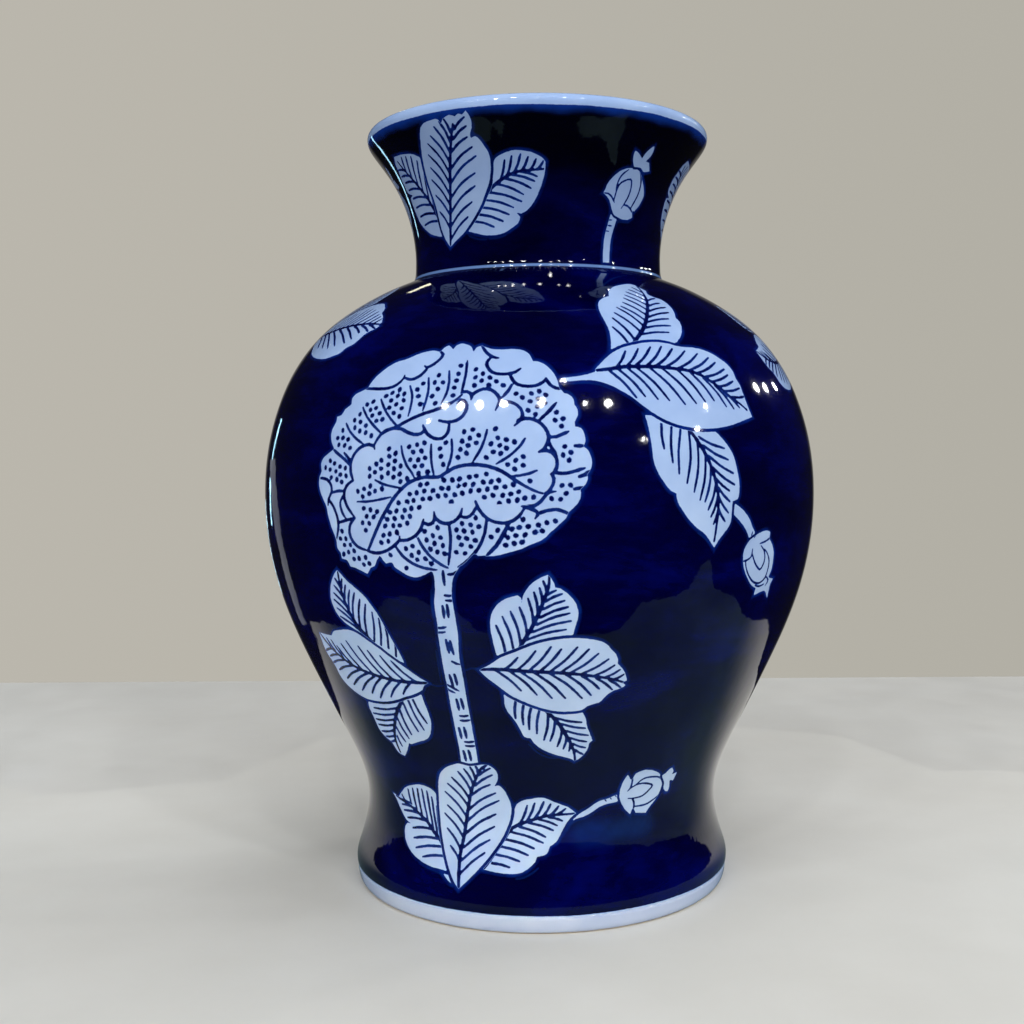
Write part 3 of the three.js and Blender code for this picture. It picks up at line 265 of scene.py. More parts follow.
    ("trunk", 1.03, [(-17.97, 56.85), (-17.86, 55.17), (-17.89, 53.47)]),
    ("peony", 1.00, [(0.17, 153.29), (1.59, 155.32), (3.11, 157.91)]),
    ("peony", 1.00, [(1.78, 148.53), (2.97, 148.63), (4.22, 149.43), (5.10, 150.02)]),
    ("peony", 1.05, [(0.05, 144.58), (0.98, 144.95), (2.07, 144.43), (2.84, 143.05), (3.04, 141.16), (2.69, 139.44), (2.03, 138.67)]),
    ("peony", 0.95, [(1.62, 147.59), (1.93, 146.10), (2.60, 144.61), (3.06, 142.85)]),
    ("peony", 1.00, [(2.55, 138.82), (4.56, 138.75), (6.14, 139.34), (7.74, 140.10)]),
    ("peony", 1.05, [(2.03, 138.56), (2.46, 137.34), (2.21, 135.46), (1.52, 133.85), (0.69, 132.11), (-0.26, 130.56), (-1.52, 129.76), (-3.03, 129.99)]),
    ("peony", 0.80, [(0.84, 133.38), (1.77, 133.63), (2.78, 133.89)]),
    ("peony", 1.00, [(-2.70, 129.71), (-1.44, 129.16), (-0.44, 128.40), (-0.31, 127.53), (-0.75, 126.61)]),
    ("peony", 1.05, [(-0.24, 127.96), (1.33, 128.70), (2.82, 128.98), (4.27, 128.28), (5.12, 127.59)]),
    ("peony", 1.20, [(6.13, 146.11), (7.68, 146.10)]),
    ("peony", 1.20, [(6.78, 137.80), (7.81, 138.40), (8.85, 139.41)]),
    ("peony", 1.10, [(5.90, 134.39), (7.44, 134.98)]),
    ("ur", 0.62, [(40.20, 112.43), (41.43, 112.74), (42.49, 113.66), (42.67, 115.85)]),
    ("ur", 0.62, [(42.66, 114.67), (43.33, 112.83), (44.34, 110.95), (45.82, 109.44), (46.64, 110.68), (46.92, 112.74), (46.38, 114.88), (45.16, 116.63)]),
    ("ur", 0.62, [(41.07, 112.19), (41.60, 110.08), (42.93, 107.55), (44.75, 105.67), (46.80, 105.39), (48.20, 106.72), (48.63, 109.09), (48.58, 111.65), (47.71, 113.84), (46.46, 115.46)]),
    ("ur", 0.62, [(44.76, 117.26), (46.31, 117.70), (48.18, 118.77)]),
    ("ur", 0.62, [(41.93, 119.58), (42.28, 121.00)]),
    ("ur", 0.62, [(42.85, 119.20), (43.47, 120.61)]),
    ("ur", 0.62, [(45.30, 104.69), (46.75, 104.25), (48.20, 104.75)]),
    ("ur", 0.62, [(48.26, 107.17), (49.56, 105.78), (48.89, 104.20)]),
    ("nkb", 0.62, [(28.04, 223.90), (29.71, 223.87), (31.61, 223.13), (33.44, 221.50)]),
    ("nkb", 0.62, [(33.10, 222.21), (33.41, 224.56), (34.16, 226.64), (36.19, 227.96), (39.23, 228.72), (40.37, 227.48), (40.61, 225.17), (39.81, 223.05), (38.65, 221.46), (37.44, 220.03)]),
    ("nkb", 0.62, [(33.41, 224.56), (33.20, 226.56), (33.75, 228.46), (35.01, 229.98), (37.10, 231.29)]),
    ("nkb", 0.62, [(43.00, 220.80), (44.58, 223.04), (45.58, 225.36), (45.47, 228.00), (44.21, 230.18), (42.47, 231.56)]),
    ("nkb", 0.62, [(38.75, 221.18), (40.80, 221.05), (42.92, 220.19), (44.24, 219.26)]),
    ("nkb", 0.62, [(32.08, 218.01), (33.37, 218.10)]),
    ("nkb", 0.62, [(31.86, 216.20), (33.41, 216.30)]),
    ("nkb", 0.62, [(31.61, 214.54), (33.46, 214.50)]),
    ("nkb", 0.62, [(30.77, 212.82), (32.07, 212.81)]),
    ("base", 0.62, [(25.08, 47.42), (25.62, 45.10), (25.55, 42.90), (24.82, 41.82)]),
    ("base", 0.62, [(25.33, 42.42), (27.05, 43.52), (29.14, 43.79), (31.56, 43.23), (32.96, 42.39), (32.17, 41.07), (30.27, 39.42), (27.68, 39.04), (25.47, 39.22)]),
    ("base", 0.62, [(27.01, 43.52), (28.80, 45.17), (31.27, 45.60), (34.58, 44.95), (35.87, 43.64)]),
    ("base", 0.62, [(28.19, 36.13), (31.68, 36.17), (33.81, 36.92), (36.44, 38.61), (37.00, 40.33)]),
    ("base", 0.62, [(26.70, 39.13), (27.68, 37.58), (27.85, 35.69), (27.68, 34.65)]),
    ("base", 0.60, [(18.04, 39.97), (18.61, 39.22)]),
    ("base", 0.60, [(19.45, 40.66), (20.06, 39.73)]),
    ("base", 0.60, [(20.88, 41.24), (21.50, 40.30)]),
]
# dotted fields of the flower
DOTS = [
    [(-39.79, 150.48), (-38.23, 152.74), (-36.39, 150.71), (-33.28, 147.27), (-34.86, 146.44), (-36.13, 143.61), (-39.72, 146.18), (-40.55, 148.20)],
    [(-37.34, 153.87), (-35.37, 156.95), (-34.56, 156.64), (-30.97, 151.45), (-29.18, 149.18), (-30.14, 147.80), (-32.64, 147.82), (-35.78, 149.84)],
    [(-34.23, 158.91), (-32.26, 160.26), (-30.61, 158.78), (-28.74, 155.33), (-26.63, 151.93), (-28.87, 150.57), (-31.11, 152.86)],
    [(-30.17, 160.47), (-27.83, 162.65), (-25.51, 163.41), (-24.34, 161.38), (-24.14, 158.01), (-24.58, 154.67), (-25.83, 152.47), (-27.81, 155.03)],
    [(-24.08, 162.50), (-21.89, 164.96), (-21.15, 164.09), (-20.99, 159.31), (-21.67, 155.99), (-23.58, 154.92), (-23.64, 159.11)],
    [(-20.70, 165.48), (-18.25, 167.37), (-17.13, 166.48), (-17.03, 161.43), (-18.11, 158.12), (-20.92, 156.52), (-20.52, 160.69)],
    [(-16.98, 168.47), (-14.12, 169.80), (-13.79, 164.41), (-14.46, 160.80), (-17.16, 158.37), (-16.57, 162.81)],
    [(-13.32, 168.06), (-11.86, 169.16), (-10.46, 168.83), (-9.31, 166.26), (-5.70, 165.34), (-4.91, 163.38), (-6.47, 160.63), (-7.60, 161.48), (-9.69, 162.63), (-11.87, 161.57), (-13.03, 161.88), (-13.51, 163.28)],
    [(-43.00, 141.87), (-40.36, 144.18), (-37.03, 142.19), (-36.04, 138.80), (-36.24, 135.96), (-37.72, 134.22), (-40.10, 134.44), (-41.25, 137.29), (-42.69, 137.84)],
    [(-40.05, 132.15), (-37.95, 132.51), (-37.94, 129.94), (-36.55, 126.57), (-38.12, 125.35), (-39.07, 127.60)],
    [(-38.17, 124.20), (-36.37, 124.86), (-36.50, 121.43), (-35.24, 118.35), (-32.80, 116.50), (-30.36, 115.80), (-31.76, 112.56), (-35.29, 112.86), (-37.85, 114.98), (-39.08, 118.08)],
    [(-29.06, 115.60), (-27.02, 117.41), (-26.14, 118.02), (-24.69, 115.28), (-22.62, 113.13), (-20.73, 111.81), (-22.55, 110.87), (-24.70, 111.88), (-26.41, 114.05)],
    [(-25.47, 118.90), (-23.41, 119.83), (-21.82, 120.73), (-20.44, 117.43), (-18.67, 114.98), (-17.43, 113.35), (-20.64, 113.50), (-22.92, 114.80)],
    [(-20.84, 122.15), (-19.66, 124.11), (-17.97, 124.98), (-15.97, 124.75), (-15.90, 119.25), (-16.47, 114.23), (-18.60, 116.38), (-20.16, 119.12)],
    [(-14.90, 124.22), (-12.91, 126.43), (-10.97, 127.81), (-9.43, 126.19), (-9.65, 122.37), (-10.93, 118.80), (-12.97, 115.44), (-15.36, 114.26), (-15.17, 119.27)],
    [(-8.58, 125.92), (-5.86, 124.57), (-6.91, 121.30), (-9.04, 117.72), (-10.62, 117.15), (-9.32, 120.74)],
    [(-4.67, 125.11), (-2.97, 127.01), (-1.12, 126.45), (1.07, 126.43), (2.75, 127.22), (3.26, 126.40), (1.06, 123.45), (-0.97, 121.02), (-4.21, 118.85), (-8.00, 117.45), (-6.06, 120.76)],
    [(-6.08, 159.52), (-5.05, 161.72), (-3.04, 161.41), (0.21, 161.37), (2.54, 160.52), (2.51, 158.32), (0.35, 155.06), (-1.92, 154.54), (-3.54, 157.56)],
    [(0.34, 153.15), (1.93, 155.04), (3.37, 156.67), (4.75, 155.02), (4.85, 151.76), (3.95, 149.87), (2.39, 149.34), (1.38, 152.06)],
    [(1.68, 146.91), (2.37, 147.72), (4.10, 148.24), (5.81, 147.68), (6.44, 144.44), (6.22, 141.20), (4.50, 139.61), (3.31, 139.35), (3.18, 142.85), (2.01, 145.29)],
    [(3.13, 137.47), (5.33, 137.71), (5.65, 135.01), (5.29, 131.78), (3.77, 130.18), (1.75, 130.21), (0.24, 129.42), (0.75, 131.30), (2.27, 133.71), (2.95, 135.05)],
    [(-32.30, 139.68), (-29.21, 143.88), (-27.00, 146.37), (-25.10, 145.53), (-24.14, 141.94), (-22.44, 138.09), (-24.39, 135.87), (-27.65, 136.39), (-31.56, 137.17)],
    [(-24.38, 147.18), (-22.03, 147.70), (-19.47, 146.85), (-18.93, 141.93), (-18.65, 138.38), (-21.47, 137.82), (-23.34, 141.94)],
    [(-18.54, 147.12), (-15.97, 147.64), (-15.48, 143.55), (-16.29, 139.75), (-18.10, 138.66)],
    [(-14.90, 148.44), (-13.72, 150.61), (-11.75, 151.13), (-9.60, 151.10), (-9.70, 147.84), (-10.86, 144.33), (-12.05, 141.90), (-14.88, 141.37), (-14.97, 145.18)],
    [(-8.71, 150.54), (-7.14, 151.06), (-5.36, 149.15), (-3.11, 147.77), (-4.30, 145.35), (-6.51, 142.94), (-8.56, 141.34), (-10.65, 142.16), (-9.48, 145.94)],
    [(-6.50, 141.06), (-4.29, 143.73), (-2.42, 145.87), (-1.57, 142.36), (-2.25, 139.41), (-4.61, 138.62)],
    [(-3.26, 137.26), (-1.07, 138.32), (-0.07, 137.24), (-0.75, 134.82), (-2.09, 135.91)],
    [(-34.05, 134.88), (-31.99, 135.76), (-27.64, 135.00), (-25.37, 133.93), (-27.20, 132.23), (-31.05, 131.58), (-34.25, 131.77)],
    [(-33.08, 129.83), (-29.94, 130.49), (-27.40, 131.11), (-28.94, 127.72), (-30.35, 124.02), (-31.75, 121.69), (-33.30, 123.31), (-33.40, 127.27)],
    [(-30.62, 118.07), (-29.56, 121.24), (-28.16, 125.23), (-26.61, 128.63), (-25.15, 131.17), (-23.19, 134.23), (-20.89, 136.18), (-17.17, 136.75), (-15.01, 138.66), (-12.19, 140.01), (-9.40, 140.00), (-6.65, 138.36), (-4.28, 136.19), (-1.93, 134.02), (-0.59, 132.93), (-1.93, 131.33), (-4.12, 130.80), (-6.66, 130.27), (-8.70, 131.35), (-11.12, 132.70), (-13.22, 131.88), (-15.34, 130.77), (-18.25, 131.01), (-20.50, 129.33), (-22.50, 125.42), (-24.94, 122.28), (-27.07, 119.67), (-28.91, 117.59)],
]
# pale strokes just outside a reserve, where the cobalt was laid on thinly
HALO = [
    ("base", [(-38.86, 17.51), (-35.05, 16.38), (-31.27, 15.77), (-28.42, 15.25)]),
    ("base", [(-7.30, 16.49), (-5.05, 16.97), (-2.80, 18.25), (-1.09, 19.66)]),
    ("nk", [(-31.20, 211.58), (-26.71, 210.39), (-22.39, 210.01)]),
    ("nk", [(-21.44, 210.12), (-16.85, 210.22), (-13.71, 211.02)]),
    ("mr", [(-2.84, 59.82), (-0.99, 57.15), (1.43, 55.44), (3.65, 54.88)]),
    ("mr", [(6.52, 103.93), (7.10, 102.20), (7.24, 100.20)]),
    ("ur", [(28.80, 121.56), (30.35, 119.91), (31.84, 117.95)]),
    ("ur", [(18.67, 153.07), (19.41, 149.77)]),
    ("ur", [(4.97, 163.01), (8.49, 163.28), (11.27, 162.74), (13.62, 161.35)]),
    ("trunk", [(-19.74, 106.47), (-19.98, 102.43), (-20.03, 98.37)]),
    ("trunk", [(-20.55, 88.79), (-20.73, 83.25), (-20.96, 78.87)]),
    ("trunk", [(-15.30, 87.65), (-15.32, 83.66), (-15.24, 78.70)]),
    ("nkb", [(36.19, 215.89), (39.02, 215.95), (43.23, 216.13)]),
    ("nkb", [(34.00, 211.49), (33.85, 209.02), (33.79, 206.53)]),
    ("peony", [(4.17, 160.79), (5.09, 161.06), (5.97, 160.23)]),
    ("twigs", [(-23.87, 78.10), (-22.35, 77.47), (-20.45, 77.81)]),
    ("twigs", [(-15.68, 82.41), (-14.09, 83.59), (-12.04, 83.54)]),
    ("twigs", [(34.45, 198.73), (25.07, 196.40), (18.92, 193.37)]),
]

# ------------------------------------------------------------------- drawing kit
R0 = 80.0                      # radius that unrolls the skin for meshing
CUT = math.radians(-104.0)     # angle where the unrolled skin starts and ends
TAU = 2 * math.pi


def cat(pts, closed, step):
    """Smooth run through control points, keeping the marked corners."""
    n = len(pts)
    P = [np.array(p[:2], float) for p in pts]
    corner = [len(p) > 2 for p in pts]
    if not closed:
        corner[0] = corner[-1] = True
        order = list(range(n))
    else:
        st = next((i for i in range(n) if corner[i]), 0)
        order = [(st + i) % n for i in range(n)] + [st]
        if not any(corner):
            corner = list(corner); corner[st] = False
    out = []
    runs, cur = [], [order[0]]
    for k in order[1:]:
        cur.append(k)
        if corner[k]:
            runs.append(cur); cur = [k]
    if len(cur) > 1:
        runs.append(cur)
    for run in runs:
        q = [P[k] for k in run]
        loop = closed and len(runs) == 1 and not corner[run[0]]
        a = q[-2] if loop else 2 * q[0] - q[1]
        b = q[1] if loop else 2 * q[-1] - q[-2]
        c = [a] + q + [b]
        for i in range(1, len(c) - 2):
            p0, p1, p2, p3 = c[i - 1], c[i], c[i + 1], c[i + 2]
            m = max(1, int(math.ceil(np.hypot(*(p2 - p1)) / step)))
            for j in range(m):
                t = j / m
                out.append(0.5 * ((2 * p1) + (p2 - p0) * t + (2 * p0 - 5 * p1 + 4 * p2 - p3) * t * t + (3 * p1 - p0 - 3 * p2 + p3) * t ** 3))
    if not closed:
        out.append(P[-1])
    return np.array(out)


def inside(poly, pts):
    x, y = pts[:, 0][:, None], pts[:, 1][:, None]
    x0, y0 = poly[:, 0][None], poly[:, 1][None]
    x1, y1 = np.roll(poly[:, 0], -1)[None], np.roll(poly[:, 1], -1)[None]
    c = ((y0 > y) != (y1 > y)) & (x < (x1 - x0) * (y - y0) / np.where(y1 == y0, 1e-12, y1 - y0) + x0)
    return c.sum(1) % 2 == 1


def seg_dist(a, b, pts):
    """Distance from each point to each segment, and where along it."""
    d = b - a
    l2 = np.maximum((d * d).sum(1), 1e-12)
    t = np.clip(((pts[:, None] - a[None]) * d[None]).sum(2) / l2[None], 0, 1)
    q = a[None] + t[..., None] * d[None]
    return np.hypot(*(pts[:, None] - q).transpose(2, 0, 1)), t


def poly_sd(poly, pts):
    d, _ = seg_dist(poly, np.roll(poly, -1, axis=0), pts)
    d = d.min(1)
    return np.where(inside(poly, pts), d, -d)


def offset_poly(poly, d):
    """Parallel outline, outwards for positive d."""
    area = 0.5 * np.sum(poly[:, 0] * np.roll(poly[:, 1], -1) - np.roll(poly[:, 0], -1) * poly[:, 1])
    e = np.roll(poly, -1, axis=0) - poly
    e /= np.maximum(np.hypot(e[:, 0], e[:, 1]), 1e-9)[:, None]
    nrm = np.c_[e[:, 1], -e[:, 0]] * (1 if area > 0 else -1)
    v = nrm + np.roll(nrm, 1, axis=0)
    l = np.hypot(v[:, 0], v[:, 1])
    v /= np.maximum(l, 1e-6)[:, None]
    k = np.minimum(1 / np.maximum(l / 2, 0.5), 1.8)
    return poly + v * (k * d)[:, None]


class Plane:
    """Local flat chart of the skin: x = angle * radius, y = distance along the profile."""
    def __init__(self, rc):
        self.rc = rc

    def flat(self, pts):
        return [(math.radians(p[0]) * self.rc, s_of_z(p[1])) + tuple(p[2:]) for p in pts]


POLYS, STROKES, HALOS = [], [], []     # chart radius, order, points ...


def add_poly(rc, order, pts, gap):
    POLYS.append(dict(rc=rc, order=order, p=pts, gap=gap))


def add_stroke(rc, order, pts, w, dens=1.0):
    """w: full widths along the stroke, mm."""
    pts = np.asarray(pts, float)
    w = np.broadcast_to(np.asarray(w, float), (len(pts),)).copy()
    STROKES.append(dict(rc=rc, order=order, p=pts, w=w, d=dens))


def brush(pts, w0, closed=False, taper=(0.75, 0.55), step=1.3):
    c = cat(pts, closed, step)
    t = np.linspace(0, 1, len(c))
    w = w0 * np.minimum(1, np.minimum(taper[0] + t / 0.12 * (1 - taper[0]), taper[1] + (1 - t) / 0.18 * (1 - taper[1])))
    return c, w * (1 + 0.06 * np.sin(t * 9 + rng.random() * 6))


def draw_leaf(rc, order, out, mid, veins):
    add_poly(rc, order, cat(out, True, 1.1), 0.95)
    m = cat(mid, False, 0.5)
    L = np.r_[0, np.cumsum(np.hypot(*np.diff(m, axis=0).T))]
    k = np.linspace(0, L[-1], max(6, int(L[-1] / 1.4)))
    mm = np.c_[np.interp(k, L, m[:, 0]), np.interp(k, L, m[:, 1])]
    add_stroke(rc, order, mm, np.interp(k / L[-1], [0, 0.1, 0.6, 1], [0.95, 1.25, 1.1, 0.7]))
    for p, q in veins:
        p, q = np.array(p), np.array(q)
        d = q - p
        side = np.sign(np.cross(m[int(np.argmin(np.hypot(*(m - p).T)))] - m[0], d) or 1.0)
        bend = np.array([-d[1], d[0]]) * (-0.045 * side)
        c, w = brush([tuple(p - 0.02 * d), tuple((p + q) / 2 + bend), tuple(q)], 0.84 + 0.08 * (rng.random() - 0.5), taper=(1.0, 0.7), step=1.5)
        add_stroke(rc, order, c, w, 0.9 + 0.1 * rng.random())


def move(pts, src, dst, rot=0.0, scale=1.0, flip=False):
    """Carries (angle, height) points from one anchor on the skin to another, keeping their real size."""
    rs, rd = float(r_of_s(s_of_z(src[1]))), float(r_of_s(s_of_z(dst[1])))
    s0, s1 = s_of_z(src[1]), s_of_z(dst[1])
    c, k = math.cos(math.radians(rot)), math.sin(math.radians(rot))
    out = []
    for p in pts:
        x = math.radians(p[0] - src[0]) * rs * (-1 if flip else 1)
        y = s_of_z(p[1]) - s0
        x, y = scale * (c * x - k * y), scale * (k * x + c * y)
        out.append((dst[0] + math.degrees(x / rd), float(z_of_s(np.clip(s1 + y, 0.5, s_of_z(249)))),) + tuple(p[2:]))
    return out


def paint(group, base=0, tr=lambda p: p, skip=(), halo=True):
    """Draws one group of the decoration, through the placing function tr."""
    def rc_of(pts):
        zz = [p[1] for p in pts]
        return float(r_of_s(s_of_z(0.5 * (min(zz) + max(zz)))))
    for name, g in LEAF.items():
        if g[0] != group or name in skip:
            continue
        out, mid = tr(g[2]), tr(g[3])
        rc = rc_of(out)
        P = Plane(rc)
        draw_leaf(rc, base + g[1], P.flat(out), P.flat(mid), [P.flat(tr(v)) for v in g[4]])
    for name, g in WHITE.items():
        if g[0] != group or name in skip:
            continue
        pts = tr(g[2])
        rc = rc_of(pts)
        add_poly(rc, base + g[1], cat(Plane(rc).flat(pts), True, 1.0), 0.75 if g[1] else 0.0)
    lines = []
    for g in INK:
        if g[0] != group:
            continue
        pts = tr(g[2])
        rc = rc_of(pts) if group != "peony" else None
        lines.append((g[1], pts))
    for w, pts in lines:
        rc = rc_of(pts)
        c, ww = brush(Plane(rc).flat(pts), w)
        add_stroke(rc, base + 1, c, ww, 0.9 + 0.1 * rng.random())
    for g in HALO:
        if halo and g[0] == group:
            pts = tr(g[1])
            rc = rc_of(pts)
            c, ww = brush(Plane(rc).flat(pts), 0.5, taper=(0.3, 0.2))
            HALOS.append(dict(rc=rc, p=c, w=ww * 0.8))
    if group == "peony":
        for reg in DOTS:
            pts = tr(reg)
            rc = rc_of(pts)
            P = Plane(rc)
            poly = cat(P.flat(pts), True, 2.0)
            segs = []
            for w, lp in lines:
                q = np.array([v[:2] for v in P.flat(lp)])
                segs.append((q[:-1], q[1:]))
            A = np.vstack([s[0] for s in segs]); B = np.vstack([s[1] for s in segs])
            lo, hi = poly.min(0), poly.max(0)
            a = rng.random() * math.pi
            ca, sa = math.cos(a), math.sin(a)
            cen = (lo + hi) / 2
            R = np.hypot(*(hi - lo)) / 2 + 3
            d, cand = 2.32, []
            nn = int(R / d) + 2
            for i in range(-nn, nn + 1):
                for j in range(-nn, nn + 1):
                    u = d * (i + 0.5 * (j % 2)) + 0.45 * (rng.random() - 0.5)
                    v = d * 0.9 * j + 0.45 * (rng.random() - 0.5)
                    cand.append((cen[0] + u * ca - v * sa, cen[1] + u * sa + v * ca))
            cand = np.array(cand)
            sd = poly_sd(poly, cand)
            cand = cand[sd > 0.1]
            if len(cand):
                dist = seg_dist(A, B, cand)[0].min(1)
                cand = cand[dist > 1.34]
            for q in cand:
                r = 0.80 + 0.12 * (rng.random() - 0.5)
                t = rng.random() * math.pi
                e = np.array([math.cos(t), math.sin(t)]) * 0.12
                add_stroke(rc, base + 1, np.array([q - e, q + e]), [2 * r, 2 * r * 0.96], 1.0)


def band(z0, z1, wave, order=0):
    """White band right round the vase, with a slightly wavy edge."""
    rc = float(r_of_s(s_of_z(0.5 * (z0 + min(z1, 249)))))
    a = np.radians(np.arange(-200, 562, 1.5))
    ph = [rng.random() * 6 for _ in range(4)]
    w = wave * (np.sin(3 * a + ph[0]) * 0.4 + np.sin(7 * a + ph[1]) * 0.3 + np.sin(16 * a + ph[2]) * 0.2 + np.sin(29 * a + ph[3]) * 0.12)
    return rc, a, w


# -------------------------------------------------------------- lay out the motifs
def put(src, dst, rot=0, scale=1.0, flip=False):
    return lambda pts: move(pts, src, dst, rot, scale, flip)


def turn(deg):
    return lambda pts: [(p[0] + deg,) + tuple(p[1:]) for p in pts]


def redrawn(deg):
    """The same motif on the far side, with the small shifts of a second hand-drawn copy."""
    return lambda pts: [(p[0] + deg + 0.9 * math.sin(p[1] / 19.0 + 1.0), p[1] + 1.0 * math.sin(p[0] / 12.0 + 2.0)) + tuple(p[2:]) for p in pts]


for k, deg in enumerate((0.0, 180.0)):
    b = 100 * k
    tr = redrawn(deg) if deg else turn(0.0)
    for g in ("trunk", "peony"):
        paint(g, b, tr)
    for g in ("ml", "mr", "base", "ur", "twigs"):
        paint(g, b + 3, tr)
for deg in (0.0, 136.0, -112.0):
    paint("nk", 300, turn(deg))
for deg in (0.0, 122.0, -124.0):
    paint("nkb", 300, turn(deg))
# sprigs on the shoulder, to the sides of the large flowers
for deg in (0.0, 180.0):
    paint("mr", 400, lambda p, d=deg: turn(d)(move(p, (-12.3, 83.0), (-72.0, 180.5), 10, 0.98)), skip=("mr_b",), halo=False)
    paint("ml", 420, lambda p, d=deg: turn(d)(move(p, (-53.0, 88.0), (57.5, 173.5), 22, 0.84)), skip=("ml_b",), halo=False)
    # low sprig at the side
    paint("mr", 440, lambda p, d=deg: turn(d)(move(p, (-12.3, 83.0), (83.0, 62.0), 50, 0.80)), halo=False)

POOLS = [((12.8, 29.7), (31.5, 29.8), 6.5), ((192.8, 29.7), (211.5, 29.8), 6.5)]
BLEED_IN = 0.30                # soft edge on each side of a painted border, mm
GLOW = 1.35                    # how far the thinner cobalt runs outside a reserved shape, mm

# ------------------------------------------------------------------ mesh the skin
rows = [0.0]
kap = np.abs(np.gradient(np.unwrap(np.arctan2(_t[:, 1], _t[:, 0])), S))
kap = np.convolve(np.pad(kap, 8, mode="edge"), np.ones(17) / 17, "valid")
fixed = [0.0, S_BELLY, S_NECK, S_LIP, S_END]
for a, b in zip(fixed, fixed[1:]):
    s = a
    run = []
    while s < b:
        ds = min(2.8, max(0.35, math.sqrt(8 * 0.006 / max(float(np.interp(s, S, kap)), 1e-3))))
        s += ds
        run.append(s)
    run = [a + (v - a) * (b - a) / (run[-1] - a) for v in run]
    rows += run
rows = np.array(rows)
COLS = 160
cols = CUT + np.arange(COLS + 1) * TAU / COLS
UV_CUTS = [0, 40, 80, 120, 160]

V, E, keep = [], [], []


def chain(pts, closed, rc):
    """Adds a constraint polyline given in a chart of radius rc; copies it one turn round where it crosses the cut."""
    pts = np.asarray(pts, float)
    X = pts[:, 0] / rc
    lo, hi = X.min(), X.max()
    for k in range(-2, 3):
        a = lo + k * TAU
        b = hi + k * TAU
        if b < CUT - 0.02 or a > CUT + TAU + 0.02:
            continue
        i0 = len(V)
        for x, y in zip(X + k * TAU, pts[:, 1]):
            V.append((x * R0, y))
        n = len(pts)
        for i in range(n - 1):
            E.append((i0 + i, i0 + i + 1))
        if closed:
            E.append((i0 + n - 1, i0))


def chart_box(p, rc):
    return p[:, 0].min() / rc, p[:, 0].max() / rc, p[:, 1].min(), p[:, 1].max()


POLYS.sort(key=lambda q: q["order"])
for q in POLYS:
    q["box"] = chart_box(q["p"], q["rc"])


def covered(pts, rc, order, depth):
    """True where a point lies under a later shape, at least depth inside it."""
    hid = np.zeros(len(pts), bool)
    bx = chart_box(pts, rc)
    for q in POLYS:
        if q["order"] <= order:
            continue
        o = q["box"]
        for k in (-1, 0, 1):
            if o[0] + k * TAU > bx[1] or o[1] + k * TAU < bx[0] or o[2] > bx[3] or o[3] < bx[2]:
                continue
            p = np.c_[(pts[:, 0] / rc - k * TAU) * q["rc"], pts[:, 1]]
            hid |= poly_sd(q["p"], p) > depth
    return hid


def runs_of(flag):
    out, cur = [], []
    for i, f in enumerate(flag):
        if f:
            cur.append(i)
        elif cur:
            out.append(cur); cur = []
    if cur:
        out.append(cur)
    return out


for q in POLYS:
    for d in (-BLEED_IN, BLEED_IN, GLOW):
        c = offset_poly(q["p"], d)
        hid = covered(c, q["rc"], q["order"], 0.8)
        if not hid.any():
            chain(c, True, q["rc"])
        else:
            for r in runs_of(~hid):
                if len(r) > 1:
                    chain(c[r], False, q["rc"])
    if q["gap"]:
        for d in (q["gap"] - BLEED_IN, q["gap"] + BLEED_IN):
            c = offset_poly(q["p"], d)
            # only where it crosses an earlier shape
            on = np.zeros(len(c), bool)
            bx = chart_box(c, q["rc"])
            for o in POLYS:
                if o["order"] > q["order"] or o is q:
                    continue
                ob = o["box"]
                if ob[0] > bx[1] or ob[1] < bx[0] or ob[2] > bx[3] or ob[3] < bx[2]:
                    continue
                p = np.c_[c[:, 0] / q["rc"] * o["rc"], c[:, 1]]
                on |= poly_sd(o["p"], p) > -0.8
            on &= ~covered(c, q["rc"], q["order"], 0.8)
            for r in runs_of(on):
                if len(r) > 1:
                    chain(c[r], False, q["rc"])


def stroke_outline(p, w):
    """Closed outline round a stroke at its half width plus the soft edge."""
    t = np.gradient(p, axis=0)
    t /= np.maximum(np.hypot(t[:, 0], t[:, 1]), 1e-9)[:, None]
    n = np.c_[-t[:, 1], t[:, 0]]
    h = (w / 2 + BLEED_IN)[:, None]
    cap1 = [p[-1] + h[-1] * (t[-1] * math.cos(a) + n[-1] * math.sin(a)) for a in (0.75, 0, -0.75)]
    cap0 = [p[0] - h[0] * (t[0] * math.cos(a) + n[0] * math.sin(a)) for a in (0.75, 0, -0.75)]
    return np.vstack([p + n * h, cap1, (p - n * h)[::-1], cap0])


n_str = 0
for q in STROKES:
    hid = covered(q["p"], q["rc"], q["order"], 1.0)
    q["skip"] = bool(hid.all())
    if q["skip"]:
        continue
    for r in runs_of(~hid):
        if len(r) < 2:
            continue
        r = list(range(max(0, r[0] - 1), min(len(q["p"]), r[-1] + 2)))
        p, w = q["p"][r], q["w"][r]
        chain(p, False, q["rc"])
        chain(stroke_outline(p, w), True, q["rc"])
        n_str += 1
for q in HALOS:
    chain(q["p"], False, q["rc"])
    chain(stroke_outline(q["p"], q["w"] + 0.35), True, q["rc"])

